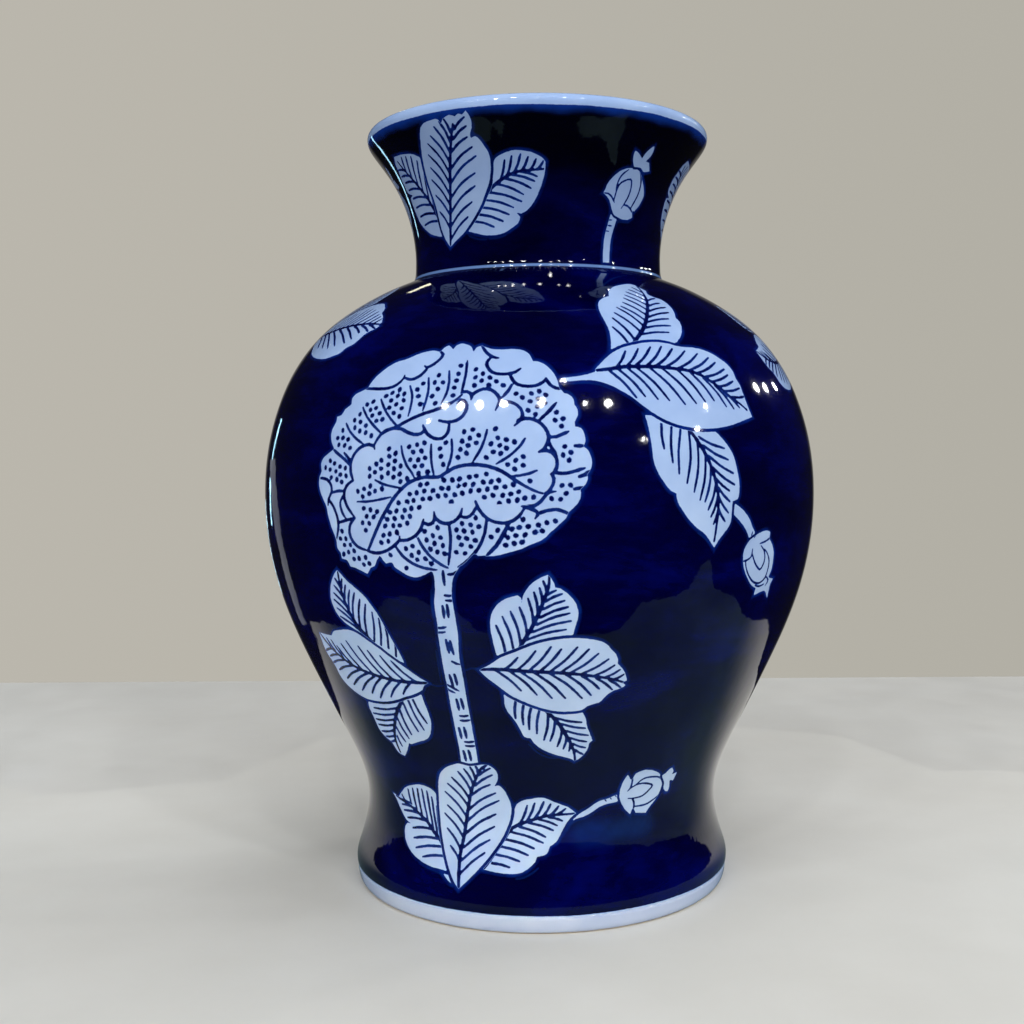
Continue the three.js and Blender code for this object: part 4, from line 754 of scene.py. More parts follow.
# wavy edges of the white lip band and of the glaze above the foot ring
WAVES = []
for z_edge, amp, up in ((246.3, 0.22, True), (6.15, 0.16, False)):
    rc, a, w = band(z_edge, z_edge, amp)
    s0 = s_of_z(z_edge)
    WAVES.append((s0, a, w, up))
    m = (a > CUT - 0.05) & (a < CUT + TAU + 0.05)
    for d in (-0.22, 0.22):
        i0 = len(V)
        aa = np.r_[CUT - 0.03, a[(a > CUT) & (a < CUT + TAU)], CUT + TAU + 0.03]
        # one period, so that both sides of the cut agree
        ww = np.interp((aa - CUT) % TAU, (a[m] - CUT) % TAU, w[m], period=TAU)
        for x, y in zip(aa, s0 + ww + d):
            V.append((x * R0, y))
        E += [(i0 + i, i0 + i + 1) for i in range(len(aa) - 1)]
# pale line where the neck is luted on
for d in (-0.75, -0.3, 0.3, 0.75):
    i0 = len(V)
    for x in cols:
        V.append((x * R0, S_NECK + 0.75 + d))
    E += [(i0 + i, i0 + i + 1) for i in range(COLS)]

n_lines = len(V)
kd = kdtree.KDTree(n_lines)
for i, v in enumerate(V):
    kd.insert((v[0], v[1], 0.0), i)
kd.balance()
grid = {}
hard_rows = {0: 0, len(rows) - 1: 0}
for f in fixed[1:3]:
    hard_rows[int(np.argmin(np.abs(rows - f)))] = 0
for i, s in enumerate(rows):
    for j, a in enumerate(cols):
        hard = i in hard_rows or j in UV_CUTS
        x = a * R0
        if not hard:
            x += (0.5 * TAU / COLS * R0) * (i % 2)
            if j == COLS:
                continue
            if kd.find((x, s, 0.0))[2] < 0.75:
                continue
        grid[(i, j)] = len(V)
        V.append((x, s))
for i in hard_rows:
    E += [(grid[(i, j)], grid[(i, j + 1)]) for j in range(COLS)]
for j in UV_CUTS:
    E += [(grid[(i, j)], grid[(i + 1, j)]) for i in range(len(rows) - 1)]

res = delaunay_2d_cdt([Vector((v[0], min(max(v[1], 0.0), S_END))) for v in V], E, [], 0, 1e-5, False)
xy = np.array([tuple(v) for v in res[0]])
tri = np.array([f for f in res[2]], dtype=np.int64)
cen = xy[tri].mean(1)
ok = (cen[:, 0] > CUT * R0) & (cen[:, 0] < (CUT + TAU) * R0)
tri = tri[ok]
# keep them counter-clockwise in the chart
a, b, c = xy[tri[:, 0]], xy[tri[:, 1]], xy[tri[:, 2]]
ar = (b[:, 0] - a[:, 0]) * (c[:, 1] - a[:, 1]) - (b[:, 1] - a[:, 1]) * (c[:, 0] - a[:, 0])
tri[ar < 0] = tri[ar < 0][:, ::-1]
tri = tri[np.abs(ar) > 1e-9]

# ------------------------------------------------------ paint values at the vertices
n = len(xy)
ang, ss = xy[:, 0] / R0, xy[:, 1]
LIM = 0.5
resv = np.full(n, -LIM)
top = np.full(n, -1)
ink = np.full(n, -LIM)
dens = np.ones(n)
halo = np.zeros(n)
glow = np.zeros(n)
by_s = np.argsort(ss, kind="stable")
ss_sorted = ss[by_s]


def pick(lo_a, hi_a, lo_s, hi_s, pad, rc):
    i0, i1 = np.searchsorted(ss_sorted, [lo_s - pad, hi_s + pad])
    idx = by_s[i0:i1]
    out = []
    for k in (-2, -1, 0, 1, 2):
        m = (ang[idx] > lo_a + k * TAU - pad / rc) & (ang[idx] < hi_a + k * TAU + pad / rc)
        if m.any():
            j = idx[m]
            out.append((j, np.c_[(ang[j] - k * TAU) * rc, ss[j]]))
    return out


for q in POLYS:
    for j, p in pick(*q["box"], 2.2, q["rc"]):
        sd = poly_sd(q["p"], p)
        near = sd > -(q["gap"] + LIM + 0.2)
        if q["gap"]:
            resv[j] = np.where(near, np.maximum(np.clip(sd, -LIM, LIM), np.minimum(resv[j], -sd - q["gap"])), resv[j])
        else:
            resv[j] = np.maximum(resv[j], np.clip(sd, -LIM, LIM))
        top[j[sd > 0]] = q["order"]
        glow[j] = np.maximum(glow[j], np.clip((GLOW + sd) / (GLOW - BLEED_IN), 0, 1))
for q in STROKES:
    if q["skip"]:
        continue
    for j, p in pick(*chart_box(q["p"], q["rc"]), 1.6, q["rc"]):
        d, t = seg_dist(q["p"][:-1], q["p"][1:], p)
        w = q["w"][:-1][None] * (1 - t) + q["w"][1:][None] * t
        v = (w / 2 - d).max(1)
        m = (top[j] <= q["order"]) & (v > ink[j])
        ink[j[m]] = np.clip(v[m], -LIM, LIM)
        dens[j[m]] = q["d"]
for q in HALOS:
    for j, p in pick(*chart_box(q["p"], q["rc"]), 1.6, q["rc"]):
        d, t = seg_dist(q["p"][:-1], q["p"][1:], p)
        w = q["w"][:-1][None] * (1 - t) + q["w"][1:][None] * t + 0.35
        halo[j] = np.maximum(halo[j], np.clip(1 - d.min(1) / np.maximum((w / 2 + 0.15).min(1), 0.1), 0, 1))
# broad pools of thinner cobalt, brushed over the ground
for (a0, z0), (a1, z1), wd in POOLS:
    rc = float(r_of_s(s_of_z((z0 + z1) / 2)))
    for k in (-1, 0, 1):
        p0, p1 = (np.array([[(math.radians(a) + k * TAU) * rc, s_of_z(zz)]]) for a, zz in ((a0, z0), (a1, z1)))
        d, _ = seg_dist(p0, p1, np.c_[ang * rc, ss])
        halo = np.maximum(halo, 1.6 * np.clip(1 - d[:, 0] / wd, 0, 1))
for s0, aa, ww, up in WAVES:
    m = (aa > CUT - 0.05) & (aa < CUT + TAU + 0.05)
    e = s0 + np.interp((ang - CUT) % TAU, (aa[m] - CUT) % TAU, ww[m], period=TAU)
    sd = (ss - e) if up else (e - ss)
    resv = np.maximum(resv, np.clip(sd, -LIM, LIM))
line = np.clip(1 - np.abs(ss - (S_NECK + 0.75)) / 0.75, 0, 1)

# ----------------------------------------------------------------- build the pieces
def place(a, s):
    r, z = r_of_s(s), z_of_s(s)
    return np.c_[r * np.sin(a), -r * np.cos(a), z] / 1000.0


def normal(a, s):
    tz, tr = np.interp(s, S, _t[:, 0]), np.interp(s, S, _t[:, 1])
    l = np.hypot(tz, tr)
    return np.c_[tz / l * np.sin(a), -tz / l * np.cos(a), -tr / l]


def lathe_pts(prof, angles):
    """Rings of points for an inside surface, with inward normals."""
    p = spline(prof, 4.0) if len(prof) > 3 else np.array(prof, float)
    t = np.gradient(p, axis=0)
    t /= np.hypot(t[:, 0], t[:, 1])[:, None]
    P, N = [], []
    for (z, r), (tz, tr) in zip(p, t):
        P.append(np.c_[r * np.sin(angles), -r * np.cos(angles), np.full(len(angles), z)] / 1000.0)
        N.append(np.c_[-tz * np.sin(angles), tz * np.cos(angles), np.full(len(angles), tr)])
    return P, N


def zipper(loop_a, ang_a, loop_b, ang_b):
    """Triangles between two closed loops sorted by angle (same sense)."""
    f, i, j = [], 0, 0
    na, nb = len(loop_a), len(loop_b)
    while i < na or j < nb:
        ta = ang_a[(i + 1) % na] + (TAU if i + 1 >= na else 0) if i < na else 1e9
        tb = ang_b[(j + 1) % nb] + (TAU if j + 1 >= nb else 0) if j < nb else 1e9
        if ta <= tb:
            f.append((loop_a[i % na], loop_a[(i + 1) % na], loop_b[j % nb])); i += 1
        else:
            f.append((loop_a[i % na], loop_b[(j + 1) % nb], loop_b[j % nb])); j += 1
    return f


def make_piece(name, s_lo, s_hi, inner, close_top):
    cs = xy[tri].mean(1)[:, 1]
    t = tri[(cs > s_lo) & (cs < s_hi)]
    used = np.unique(t)
    # weld the two sides of the cut
    key = {}
    remap = np.full(n, -1, dtype=np.int64)
    ids = []
    for v in used:
        x = ang[v]
        if x > CUT + TAU - 1e-5:
            continue
        remap[v] = len(ids)
        ids.append(v)
        if x < CUT + 1e-5:
            key.setdefault(round(float(ss[v]), 2), v)
    left = np.array([v for v in used if ang[v] < CUT + 1e-5])
    for v in used:
        if ang[v] > CUT + TAU - 1e-5:
            k = left[int(np.argmin(np.abs(ss[left] - ss[v])))]
            remap[v] = remap[k]
    ids = np.array(ids)
    faces = remap[t]
    good = (faces[:, 0] != faces[:, 1]) & (faces[:, 1] != faces[:, 2]) & (faces[:, 0] != faces[:, 2])
    faces = faces[good]
    face_c = xy[t[good]].mean(1)
    P = [place(ang[ids], ss[ids])]
    N = [normal(ang[ids], ss[ids])]
    at = [np.c_[resv[ids], ink[ids], halo[ids], line[ids], dens[ids], glow[ids]]]
    count = len(ids)
    F = [tuple(int(v) for v in f) for f in faces]

    def ring_at(s):
        m = np.where(np.abs(ss[ids] - s) < 1e-4)[0]
        return m[np.argsort(ang[ids[m]])]
    lo_ring, hi_ring = ring_at(s_lo), ring_at(s_hi)
    iang = cols[:-1] if not close_top else ang[ids[hi_ring]]
    IP, IN = lathe_pts(inner, iang)
    k = len(iang)
    starts = []
    for m_, (p, nn) in enumerate(zip(IP, IN)):
        if close_top and m_ == len(IP) - 1:
            starts.append(None)
            continue
        starts.append(count)
        P.append(p); N.append(nn)
        at.append(np.tile([LIM, -LIM, 0, 0, 1, 0], (k, 1)))
        count += k
    def ring_ids(m_):
        return [int(v) for v in hi_ring] if starts[m_] is None else [starts[m_] + j for j in range(k)]
    for m_ in range(len(IP) - 1):
        A, B = ring_ids(m_), ring_ids(m_ + 1)
        for j in range(k):
            j2 = (j + 1) % k
            F.append((A[j], B[j], B[j2])); F.append((A[j], B[j2], A[j2]))
    ia = list(iang)
    # flat joint faces
    bot = zipper([int(v) for v in lo_ring], list(ang[ids[lo_ring]]), ring_ids(0), ia)
    F += [f[::-1] for f in bot]
    if not close_top:
        F += zipper([int(v) for v in hi_ring], list(ang[ids[hi_ring]]), ring_ids(len(IP) - 1), ia)
    P, N, at = np.vstack(P), np.vstack(N), np.vstack(at)
    me = bpy.data.meshes.new(name)
    me.from_pydata(P.tolist(), [], F)
    for i, nm in enumerate(("reserve", "ink", "halo", "seam", "wash", "glow")):
        a_ = me.attributes.new(nm, "FLOAT", "POINT")
        a_.data.foreach_set("value", np.ascontiguousarray(at[:, i], dtype=np.float32))
    me.polygons.foreach_set("use_smooth", [True] * len(me.polygons))
    # flat map for baking: the outside as four upright strips, the inside and the joint faces in thin bands above
    uv = me.uv_layers.new(name="OFBake")
    raw = t[good]
    strip = np.clip(np.floor((ang[raw].mean(1) - CUT) / (TAU / 4)), 0, 3).astype(int)[:, None]
    fu = (ang[raw] - CUT - strip * TAU / 4) / (TAU / 4)
    fv = (ss[raw] - s_lo) / (s_hi - s_lo)
    g = 0.004
    U = (strip % 2) * 0.5 + g + np.clip(fu, 0, 1) * (0.5 - 2 * g)
    W = (strip // 2) * 0.43 + g + np.clip(fv, 0, 1) * (0.43 - 2 * g)
    co_uv = [np.c_[U.ravel(), W.ravel()]]
    rest = np.array(F[len(raw):])
    q = P[rest]
    aa = np.arctan2(q[..., 0], -q[..., 1])
    aa = aa[:, :1] + (aa - aa[:, :1] + math.pi) % TAU - math.pi
    rr, zz = np.hypot(q[..., 0], q[..., 1]) * 1000, q[..., 2] * 1000
    z_lo, z_hi = float(z_of_s(s_lo)), float(z_of_s(s_hi))
    flat_lo = (np.abs(zz - z_lo) < 1e-3).all(1)[:, None]
    flat_hi = (np.abs(zz - z_hi) < 1e-3).all(1)[:, None]
    rn = (rr - rr.min()) / (rr.max() - rr.min())
    zn = (zz - zz.min()) / (zz.max() - zz.min())
    U = 0.03 + 0.92 * (aa + math.pi) / TAU
    W = np.where(flat_lo, 0.868 + 0.012 * rn, np.where(flat_hi, 0.888 + 0.012 * rn, 0.908 + 0.084 * zn))
    co_uv.append(np.c_[U.ravel(), W.ravel()])
    uv.data.foreach_set("uv", np.vstack(co_uv).astype(np.float32).ravel())
    me.update()
    me.normals_split_custom_set_from_vertices([tuple(v) for v in N])
    ob = bpy.data.objects.new(name, me)
    bpy.context.scene.collection.objects.link(ob)
    return ob


def ring_piece(name, prof, segs=160):
    """Closed ring from a closed [z, r] profile."""
    p = np.array(prof, float)
    a = np.arange(segs) * TAU / segs
    P = [np.c_[r * np.sin(a), -r * np.cos(a), np.full(segs, z)] / 1000.0 for z, r in p]
    F = []
    m = len(p)
    for i in range(m):
        for j in range(segs):
            i2, j2 = (i + 1) % m, (j + 1) % segs
            F.append((i * segs + j, i * segs + j2, i2 * segs + j2, i2 * segs + j))
    me = bpy.data.meshes.new(name)
    me.from_pydata(np.vstack(P).tolist(), [], F)
    me.polygons.foreach_set("use_smooth", [True] * len(me.polygons))
    me.update()
    ob = bpy.data.objects.new(name, me)
    bpy.context.scene.collection.objects.link(ob)
    return ob


lower = make_piece("glazed_lower_body", 0.0, S_BELLY, LOWER_IN, False)
upper = make_piece("glazed_upper_body", S_BELLY, S_NECK, UPPER_IN, False)
neck_ob = make_piece("glazed_neck", S_NECK, S_END, NECK_IN, True)


def arc(z0, r0, rad, a0, a1, k=6):
    return [(z0 + rad * math.sin(math.radians(a0 + (a1 - a0) * i / k)), r0 + rad * math.cos(math.radians(a0 + (a1 - a0) * i / k))) for i in range(k + 1)]


foot_prof = ([(0.0, 55.3)] + [(0.0, 58.0), (0.0, 60.6)] + [(0.05, 61.15), (0.22, 61.65), (0.55, 62.15), (1.0, 62.5), (1.6, 62.78), (2.4, 62.98), (3.4, 63.12), (4.5, 63.24), (5.6, 63.35)]
             + [(5.6, 58.0), (5.6, 53.0)] + [(4.0, 53.0), (2.4, 53.02), (1.5, 53.15), (0.8, 53.5), (0.3, 54.1), (0.06, 54.7)])
foot = ring_piece("foot_ring_biscuit_edge", foot_prof)


def disc_piece(name, segs=160):
    p = [(4.0, 53.0), (5.6, 53.0), (10.0, 53.0)]
    up = [(10.0, 52.0), (10.0, 44.0), (10.0, 30.0), (10.0, 15.0)]
    dn = [(4.0, 15.0), (4.0, 30.0), (4.0, 44.0)]
    prof = dn + p + up
    a = np.arange(segs) * TAU / segs
    P = [np.c_[r * np.sin(a), -r * np.cos(a), np.full(segs, z)] / 1000.0 for z, r in prof]
    F = []
    for i in range(len(prof) - 1):
        for j in range(segs):
            j2 = (j + 1) % segs
            F.append((i * segs + j, i * segs + j2, (i + 1) * segs + j2, (i + 1) * segs + j))
    P.append(np.array([[0, 0, 0.004], [0, 0, 0.010]]))
    c0 = len(prof) * segs
    L = (len(prof) - 1) * segs
    for j in range(segs):
        j2 = (j + 1) % segs
        F.append((c0, j2, j))
        F.append((c0 + 1, L + j, L + j2))
    me = bpy.data.meshes.new(name)
    me.from_pydata(np.vstack(P).tolist(), [], F)
    me.update()
    ob = bpy.data.objects.new(name, me)
    bpy.context.scene.collection.objects.link(ob)
    return ob


disc = disc_piece("glazed_base_disc")

# -------------------------------------------------------------------- materials
def lin(r, g, b):
    f = lambda v: (v / 255 / 12.92) if v / 255 <= 0.04045 else ((v / 255 + 0.055) / 1.055) ** 2.4
    return (f(r), f(g), f(b), 1.0)


class Nodes:
    def __init__(self, name):
        self.m = bpy.data.materials.new(name)
        self.m.use_nodes = True
        self.t = self.m.node_tree
        self.t.nodes.clear()
        self.out = self.t.nodes.new("ShaderNodeOutputMaterial")
        self.b = self.t.nodes.new("ShaderNodeBsdfPrincipled")
        self.t.links.new(self.b.outputs[0], self.out.inputs[0])

    def new(self, kind, **kw):
        nd = self.t.nodes.new(kind)
        for k, v in kw.items():
            setattr(nd, k, v)
        return nd

    def link(self, a, b):
        self.t.links.new(a, b)

    def attr(self, name):
        nd = self.new("ShaderNodeAttribute", attribute_name=name)
        return nd.outputs["Fac"]

    def math(self, op, a, b=None, clamp=False):
        nd = self.new("ShaderNodeMath", operation=op, use_clamp=clamp)
        for i, v in enumerate((a, b)):
            if v is None:
                continue
            if isinstance(v, (int, float)):
                nd.inputs[i].default_value = v
            else:
                self.link(v, nd.inputs[i])
        return nd.outputs[0]

    def step(self, v, lo, hi):
        nd = self.new("ShaderNodeMapRange", interpolation_type="SMOOTHSTEP")
        nd.inputs["From Min"].default_value = lo
        nd.inputs["From Max"].default_value = hi
        self.link(v, nd.inputs["Value"])
        return nd.outputs[0]

    def span(self, v, lo, hi, a, b):
        nd = self.new("ShaderNodeMapRange")
        nd.inputs["From Min"].default_value = lo
        nd.inputs["From Max"].default_value = hi
        nd.inputs["To Min"].default_value = a
        nd.inputs["To Max"].default_value = b
        self.link(v, nd.inputs["Value"])
        return nd.outputs[0]

    def noise(self, scale, detail=3.0, rough=0.5, dist=0.0, stretch=None):
        tc = self.new("ShaderNodeTexCoord")
        src = tc.outputs["Object"]
        if stretch:
            mp = self.new("ShaderNodeMapping")
            mp.inputs["Scale"].default_value = stretch
            self.link(src, mp.inputs[0])
            src = mp.outputs[0]
        nd = self.new("ShaderNodeTexNoise")
        nd.inputs["Scale"].default_value = scale
        nd.inputs["Detail"].default_value = detail
        nd.inputs["Roughness"].default_value = rough
        nd.inputs["Distortion"].default_value = dist
        self.link(src, nd.inputs["Vector"])
        return nd.outputs["Fac"]

    def ramp(self, v, stops):
        nd = self.new("ShaderNodeValToRGB")
        e = nd.color_ramp.elements
        while len(e) > 1:
            e.remove(e[-1])
        e[0].position, e[0].color = stops[0]
        for p, c in stops[1:]:
            k = e.new(p); k.color = c
        self.link(v, nd.inputs[0])
        return nd.outputs[0]

    def mix(self, f, a, b, kind="MIX"):
        nd = self.new("ShaderNodeMix", data_type="RGBA", blend_type=kind)
        for s, v in ((nd.inputs[0], f), (nd.inputs[6], a), (nd.inputs[7], b)):
            if isinstance(v, (int, float)):
                s.default_value = v
            elif isinstance(v, tuple):
                s.default_value = v
            else:
                self.link(v, s)
        return nd.outputs[2]

    def bump(self, h, dist, strength, prev=None):
        nd = self.new("ShaderNodeBump")
        nd.inputs["Strength"].default_value = strength
        nd.inputs["Distance"].default_value = dist
        self.link(h, nd.inputs["Height"])
        if prev is not None:
            self.link(prev, nd.inputs["Normal"])
        return nd.outputs[0]


def glaze():
    k = Nodes("cobalt_underglaze_porcelain")
    wob = k.noise(900.0, 2.0)
    wob = k.span(wob, 0.3, 0.7, -0.05, 0.05)
    white = k.step(k.math("ADD", k.attr("reserve"), wob), -0.17, 0.17)
    inkm = k.step(k.math("ADD", k.attr("ink"), wob), -0.17, 0.17)
    # the liner strokes are a wash: a little lighter where the brush lifts
    blot = k.span(k.noise(420.0, 3.0, 0.6), 0.3, 0.75, 0.80, 1.0)
    ink_amt = k.math("MULTIPLY", inkm, k.math("MULTIPLY", k.attr("wash"), blot))
    # cobalt laid on with a broad brush: deeper and lighter passes, darker pools
    broad = k.noise(26.0, 4.0, 0.55, 0.6, (1.0, 1.0, 2.2))
    fine = k.noise(150.0, 5.0, 0.6, 0.3, (1.0, 1.0, 3.0))
    depth = k.math("ADD", k.math("MULTIPLY", broad, 0.75), k.math("MULTIPLY", fine, 0.25))
    ground = k.ramp(depth, [(0.32, lin(0, 0, 26)), (0.5, lin(0, 0, 45)), (0.68, lin(0, 3, 76))])
    tc = k.new("ShaderNodeTexCoord")
    sep = k.new("ShaderNodeSeparateXYZ")
    k.link(tc.outputs["Object"], sep.inputs[0])
    # painted shade: the cobalt ground is darkened towards black up the neck, where the flared mouth shades it from the
    # light above
    neck_top_shade = k.span(sep.outputs["Z"], 0.208, 0.232, 1.0, 0.10)
    ground = k.mix(neck_top_shade, (0.0, 0.0, 0.0015, 1.0), ground)
    # cobalt thins out and runs paler just under the white lip
    lip_run = k.math("ADD", sep.outputs["Z"], k.span(k.noise(90.0, 3.0), 0.3, 0.7, -0.0006, 0.0006))
    ground = k.mix(k.math("MULTIPLY", k.step(lip_run, 0.2436, 0.2464), 0.8), ground, lin(14, 52, 142))
    paper = k.ramp(k.noise(60.0, 4.0, 0.55), [(0.3, lin(142, 169, 217)), (0.7, lin(160, 186, 229))])
    # painted shade: the white reserves on the neck are darkened under the flare of the mouth, where the lip shades them
    # from the light above
    mouth_shade = k.math("SUBTRACT", k.step(sep.outputs["Z"], 0.203, 0.216), k.step(sep.outputs["Z"], 0.2448, 0.2462))
    paper = k.mix(k.math("MULTIPLY", mouth_shade, 0.20), paper, lin(20, 30, 74))
    stroke = k.ramp(ink_amt, [(0.0, lin(164, 184, 228)), (0.35, lin(92, 130, 198)), (0.65, lin(20, 50, 132)), (0.9, lin(2, 8, 66)), (1.0, lin(1, 3, 52))])
    drawn = k.mix(k.step(ink_amt, 0.0, 0.12), paper, stroke)
    bleed = k.math("MULTIPLY", k.step(k.attr("glow"), 0.0, 1.15), k.span(k.noise(120.0, 4.0, 0.6), 0.35, 0.7, 0.15, 0.95))
    ground = k.mix(k.math("MULTIPLY", bleed, 0.55), ground, lin(10, 52, 158))
    edge = k.ramp(white, [(0.0, lin(1, 6, 80)), (0.3, lin(8, 34, 128)), (0.62, lin(92, 132, 204)), (1.0, lin(164, 184, 228))])
    pool = k.math("MULTIPLY", k.step(k.attr("halo"), 0.0, 1.5), k.span(k.noise(60.0, 4.0, 0.6), 0.3, 0.7, 0.25, 0.75))
    ground = k.mix(k.math("MULTIPLY", pool, 0.62), ground, lin(8, 48, 128))
    col = k.mix(k.step(white, 0.0, 0.35), ground, edge)
    col = k.mix(k.step(white, 0.55, 1.0), col, drawn)
    seam_c = k.mix(k.math("MULTIPLY", k.step(k.attr("seam"), 0.15, 0.8), 0.8), col, lin(120, 158, 224))
    k.link(seam_c, k.b.inputs["Base Color"])
    k.link(k.span(k.noise(70.0, 3.0), 0.3, 0.7, 0.035, 0.065), k.b.inputs["Roughness"])
    k.b.inputs["IOR"].default_value = 1.46
    k.b.inputs["Coat Weight"].default_value = 0.0
    b1 = k.bump(k.noise(24.0, 2.0, 0.4), 0.004, 0.12)
    b2 = k.bump(k.noise(260.0, 2.0, 0.5), 0.0006, 0.05, b1)
    k.link(b2, k.b.inputs["Normal"])
    return k.m


def white_glaze(name, bare):
    k = Nodes(name)
    tc = k.new("ShaderNodeTexCoord")
    sep = k.new("ShaderNodeSeparateXYZ")
    k.link(tc.outputs["Object"], sep.inputs[0])
    base = k.ramp(k.noise(55.0, 4.0, 0.55), [(0.3, lin(150, 169, 210)), (0.7, lin(164, 181, 217))])
    if bare:
        wob = k.span(k.noise(160.0, 3.0), 0.3, 0.7, -0.00012, 0.00012)
        zz = k.math("ADD", sep.outputs["Z"], wob)
        raw = k.step(zz, 0.00042, 0.00018)
        rim = k.math("MULTIPLY", k.step(zz, 0.0002, 0.00036), k.step(zz, 0.0007, 0.00045))
        clay = k.ramp(k.noise(900.0, 6.0, 0.7), [(0.3, lin(196, 188, 176)), (0.7, lin(222, 216, 206))])
        base = k.mix(raw, base, clay)
        base = k.mix(k.math("MULTIPLY", rim, 0.45), base, lin(196, 170, 140))
        k.link(k.mix(raw, (0.06, 0.06, 0.06, 1), (0.75, 0.75, 0.75, 1)), k.b.inputs["Roughness"])
    else:
        k.link(k.span(k.noise(70.0, 3.0), 0.3, 0.7, 0.05, 0.1), k.b.inputs["Roughness"])
    k.link(base, k.b.inputs["Base Color"])
    k.b.inputs["IOR"].default_value = 1.5
    b1 = k.bump(k.noise(24.0, 2.0, 0.4), 0.004, 0.1)
    b2 = k.bump(k.noise(300.0, 3.0, 0.5), 0.0006, 0.06, b1)
    k.link(b2, k.b.inputs["Normal"])
    return k.m


GLAZE = glaze()
for ob in (lower, upper, neck_ob):
    ob.data.materials.append(GLAZE)
foot.data.materials.append(white_glaze("white_foot_glaze", True))
disc.data.materials.append(white_glaze("white_inside_glaze", False))
for ob, node, slot in ((lower, "lower_body", "cobalt_glaze"), (upper, "upper_body", "cobalt_glaze"), (neck_ob, "neck", "cobalt_glaze"),
                       (foot, "foot_ring", "white_glaze"), (disc, "base_disc", "clear_glaze")):
    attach(ob, "root")
    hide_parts(node)

# ------------------------------------------------------------- floor, light, camera
def slab(name, x0, x1, y0, y1, z0, z1):
    me = bpy.data.meshes.new(name)
    v = [(x, y, z) for z in (z0, z1) for y in (y0, y1) for x in (x0, x1)]
    me.from_pydata(v, [], [(0, 2, 3, 1), (4, 5, 7, 6), (0, 1, 5, 4), (1, 3, 7, 5), (3, 2, 6, 7), (2, 0, 4, 6)])
    ob = bpy.data.objects.new(name, me)
    bpy.context.scene.collection.objects.link(ob)
    return ob


floor = slab("pale_table", -1.7, 1.7, -1.7, 0.345, -0.03, 0.0)
k = Nodes("pale_table_top")
k.link(k.ramp(k.noise(9.0, 5.0, 0.6), [(0.3, lin(205, 205, 202)), (0.7, lin(214, 215, 213))]), k.b.inputs["Base Color"])
k.link(k.span(k.noise(40.0, 3.0), 0.3, 0.7, 0.5, 0.65), k.b.inputs["Roughness"])
floor.data.materials.append(k.m)
floor.visible_glossy = False
# grey card lying on the table, seen only in the mirror of the glaze: the shaded near part of the table
card_pts = [(-0.245, 0.115), (-0.235, 0.039), (-0.222, 0.008), (-0.196, -0.054), (-0.203, -0.108), (-0.215, -0.133), (-0.200, -0.155),
            (-0.179, -0.174), (-0.160, -0.178), (-0.125, -0.170), (-0.109, -0.189), (-0.084, -0.176), (-0.069, -0.165), (-0.055, -0.170),
            (-0.011, -0.175), (0.021, -0.172), (0.064, -0.163), (0.087, -0.160), (0.135, -0.186), (0.166, -0.173), (0.190, -0.159),
            (0.228, -0.153), (0.321, -0.178), (0.379, -0.170), (0.261, -0.108), (0.261, -0.089), (0.269, -0.051), (0.234, -0.005),
            (0.235, 0.037), (0.239, 0.059), (0.247, 0.093), (0.226, 0.116), (0.204, 0.123), (0.177, 0.122), (0.150, 0.19),
            (0.0, 0.26), (-0.110, 0.19), (-0.141, 0.114), (-0.175, 0.103), (-0.212, 0.091)]
me = bpy.data.meshes.new("grey_card")
me.from_pydata([(x, y, 0.0004) for x, y in card_pts], [], [tuple(range(len(card_pts)))[::-1]])
card = bpy.data.objects.new("grey_card", me)
bpy.context.scene.collection.objects.link(card)
k = Nodes("grey_card_face")
tc = k.new("ShaderNodeTexCoord")
sep = k.new("ShaderNodeSeparateXYZ")
k.link(tc.outputs["Object"], sep.inputs[0])
near = k.ramp(k.noise(7.0, 4.0, 0.6), [(0.35, lin(70, 92, 96)), (0.65, lin(102, 129, 128))])
k.link(k.mix(k.step(sep.outputs["Y"], -0.01, 0.085), near, lin(226, 225, 220)), k.b.inputs["Base Color"])
k.b.inputs["Roughness"].default_value = 0.9
card.data.materials.append(k.m)
card.visible_camera = card.visible_diffuse = card.visible_shadow = card.visible_transmission = False

GLINT = [((-0.2229, 0.1983, 0.1515), (-0.2551, 0.1663, 0.1576)),
         ((-0.2434, 0.1803, 0.1283), (-0.2713, 0.1478, 0.1303)),
         ((-0.2523, 0.1693, 0.103), (-0.2772, 0.1376, 0.1018)),
         ((-0.2536, 0.1623, 0.0734), (-0.2752, 0.1324, 0.0688)),
         ((-0.2412, 0.1673, 0.0457), (-0.2644, 0.1348, 0.0369)),
         ((-0.2341, 0.1689, 0.03), (-0.2574, 0.1379, 0.0221)),
         ((-0.2284, 0.1692, 0.0174), (-0.2471, 0.1426, 0.0073)),
         ((-0.2293, 0.1643, 0.0072), (-0.2475, 0.1376, -0.0022))]


def glint(name, rows_, gain):
    """Strip of pale wall seen only in the mirror of the glaze; two points per row, and one brightness, gain, for the
    whole strip.
    """
    me = bpy.data.meshes.new(name)
    me.from_pydata([p for r_ in rows_ for p in r_[:2]], [], [(2 * i, 2 * i + 1, 2 * i + 3, 2 * i + 2) for i in range(len(rows_) - 1)])
    ob = bpy.data.objects.new(name, me)
    bpy.context.scene.collection.objects.link(ob)
    k = Nodes(name + "_face")
    k.b.inputs["Base Color"].default_value = (0, 0, 0, 1)
    k.b.inputs["Specular IOR Level"].default_value = 0.0
    k.link(k.ramp(k.noise(14.0, 4.0, 0.6), [(0.3, (0.40, 0.42, 0.50, 1)), (0.7, (0.62, 0.64, 0.70, 1))]), k.b.inputs["Emission Color"])
    k.b.inputs["Emission Strength"].default_value = gain
    ob.data.materials.append(k.m)
    ob.visible_camera = ob.visible_diffuse = ob.visible_shadow = ob.visible_transmission = False
    return ob


glint("left_wall_strip", GLINT, 0.8)

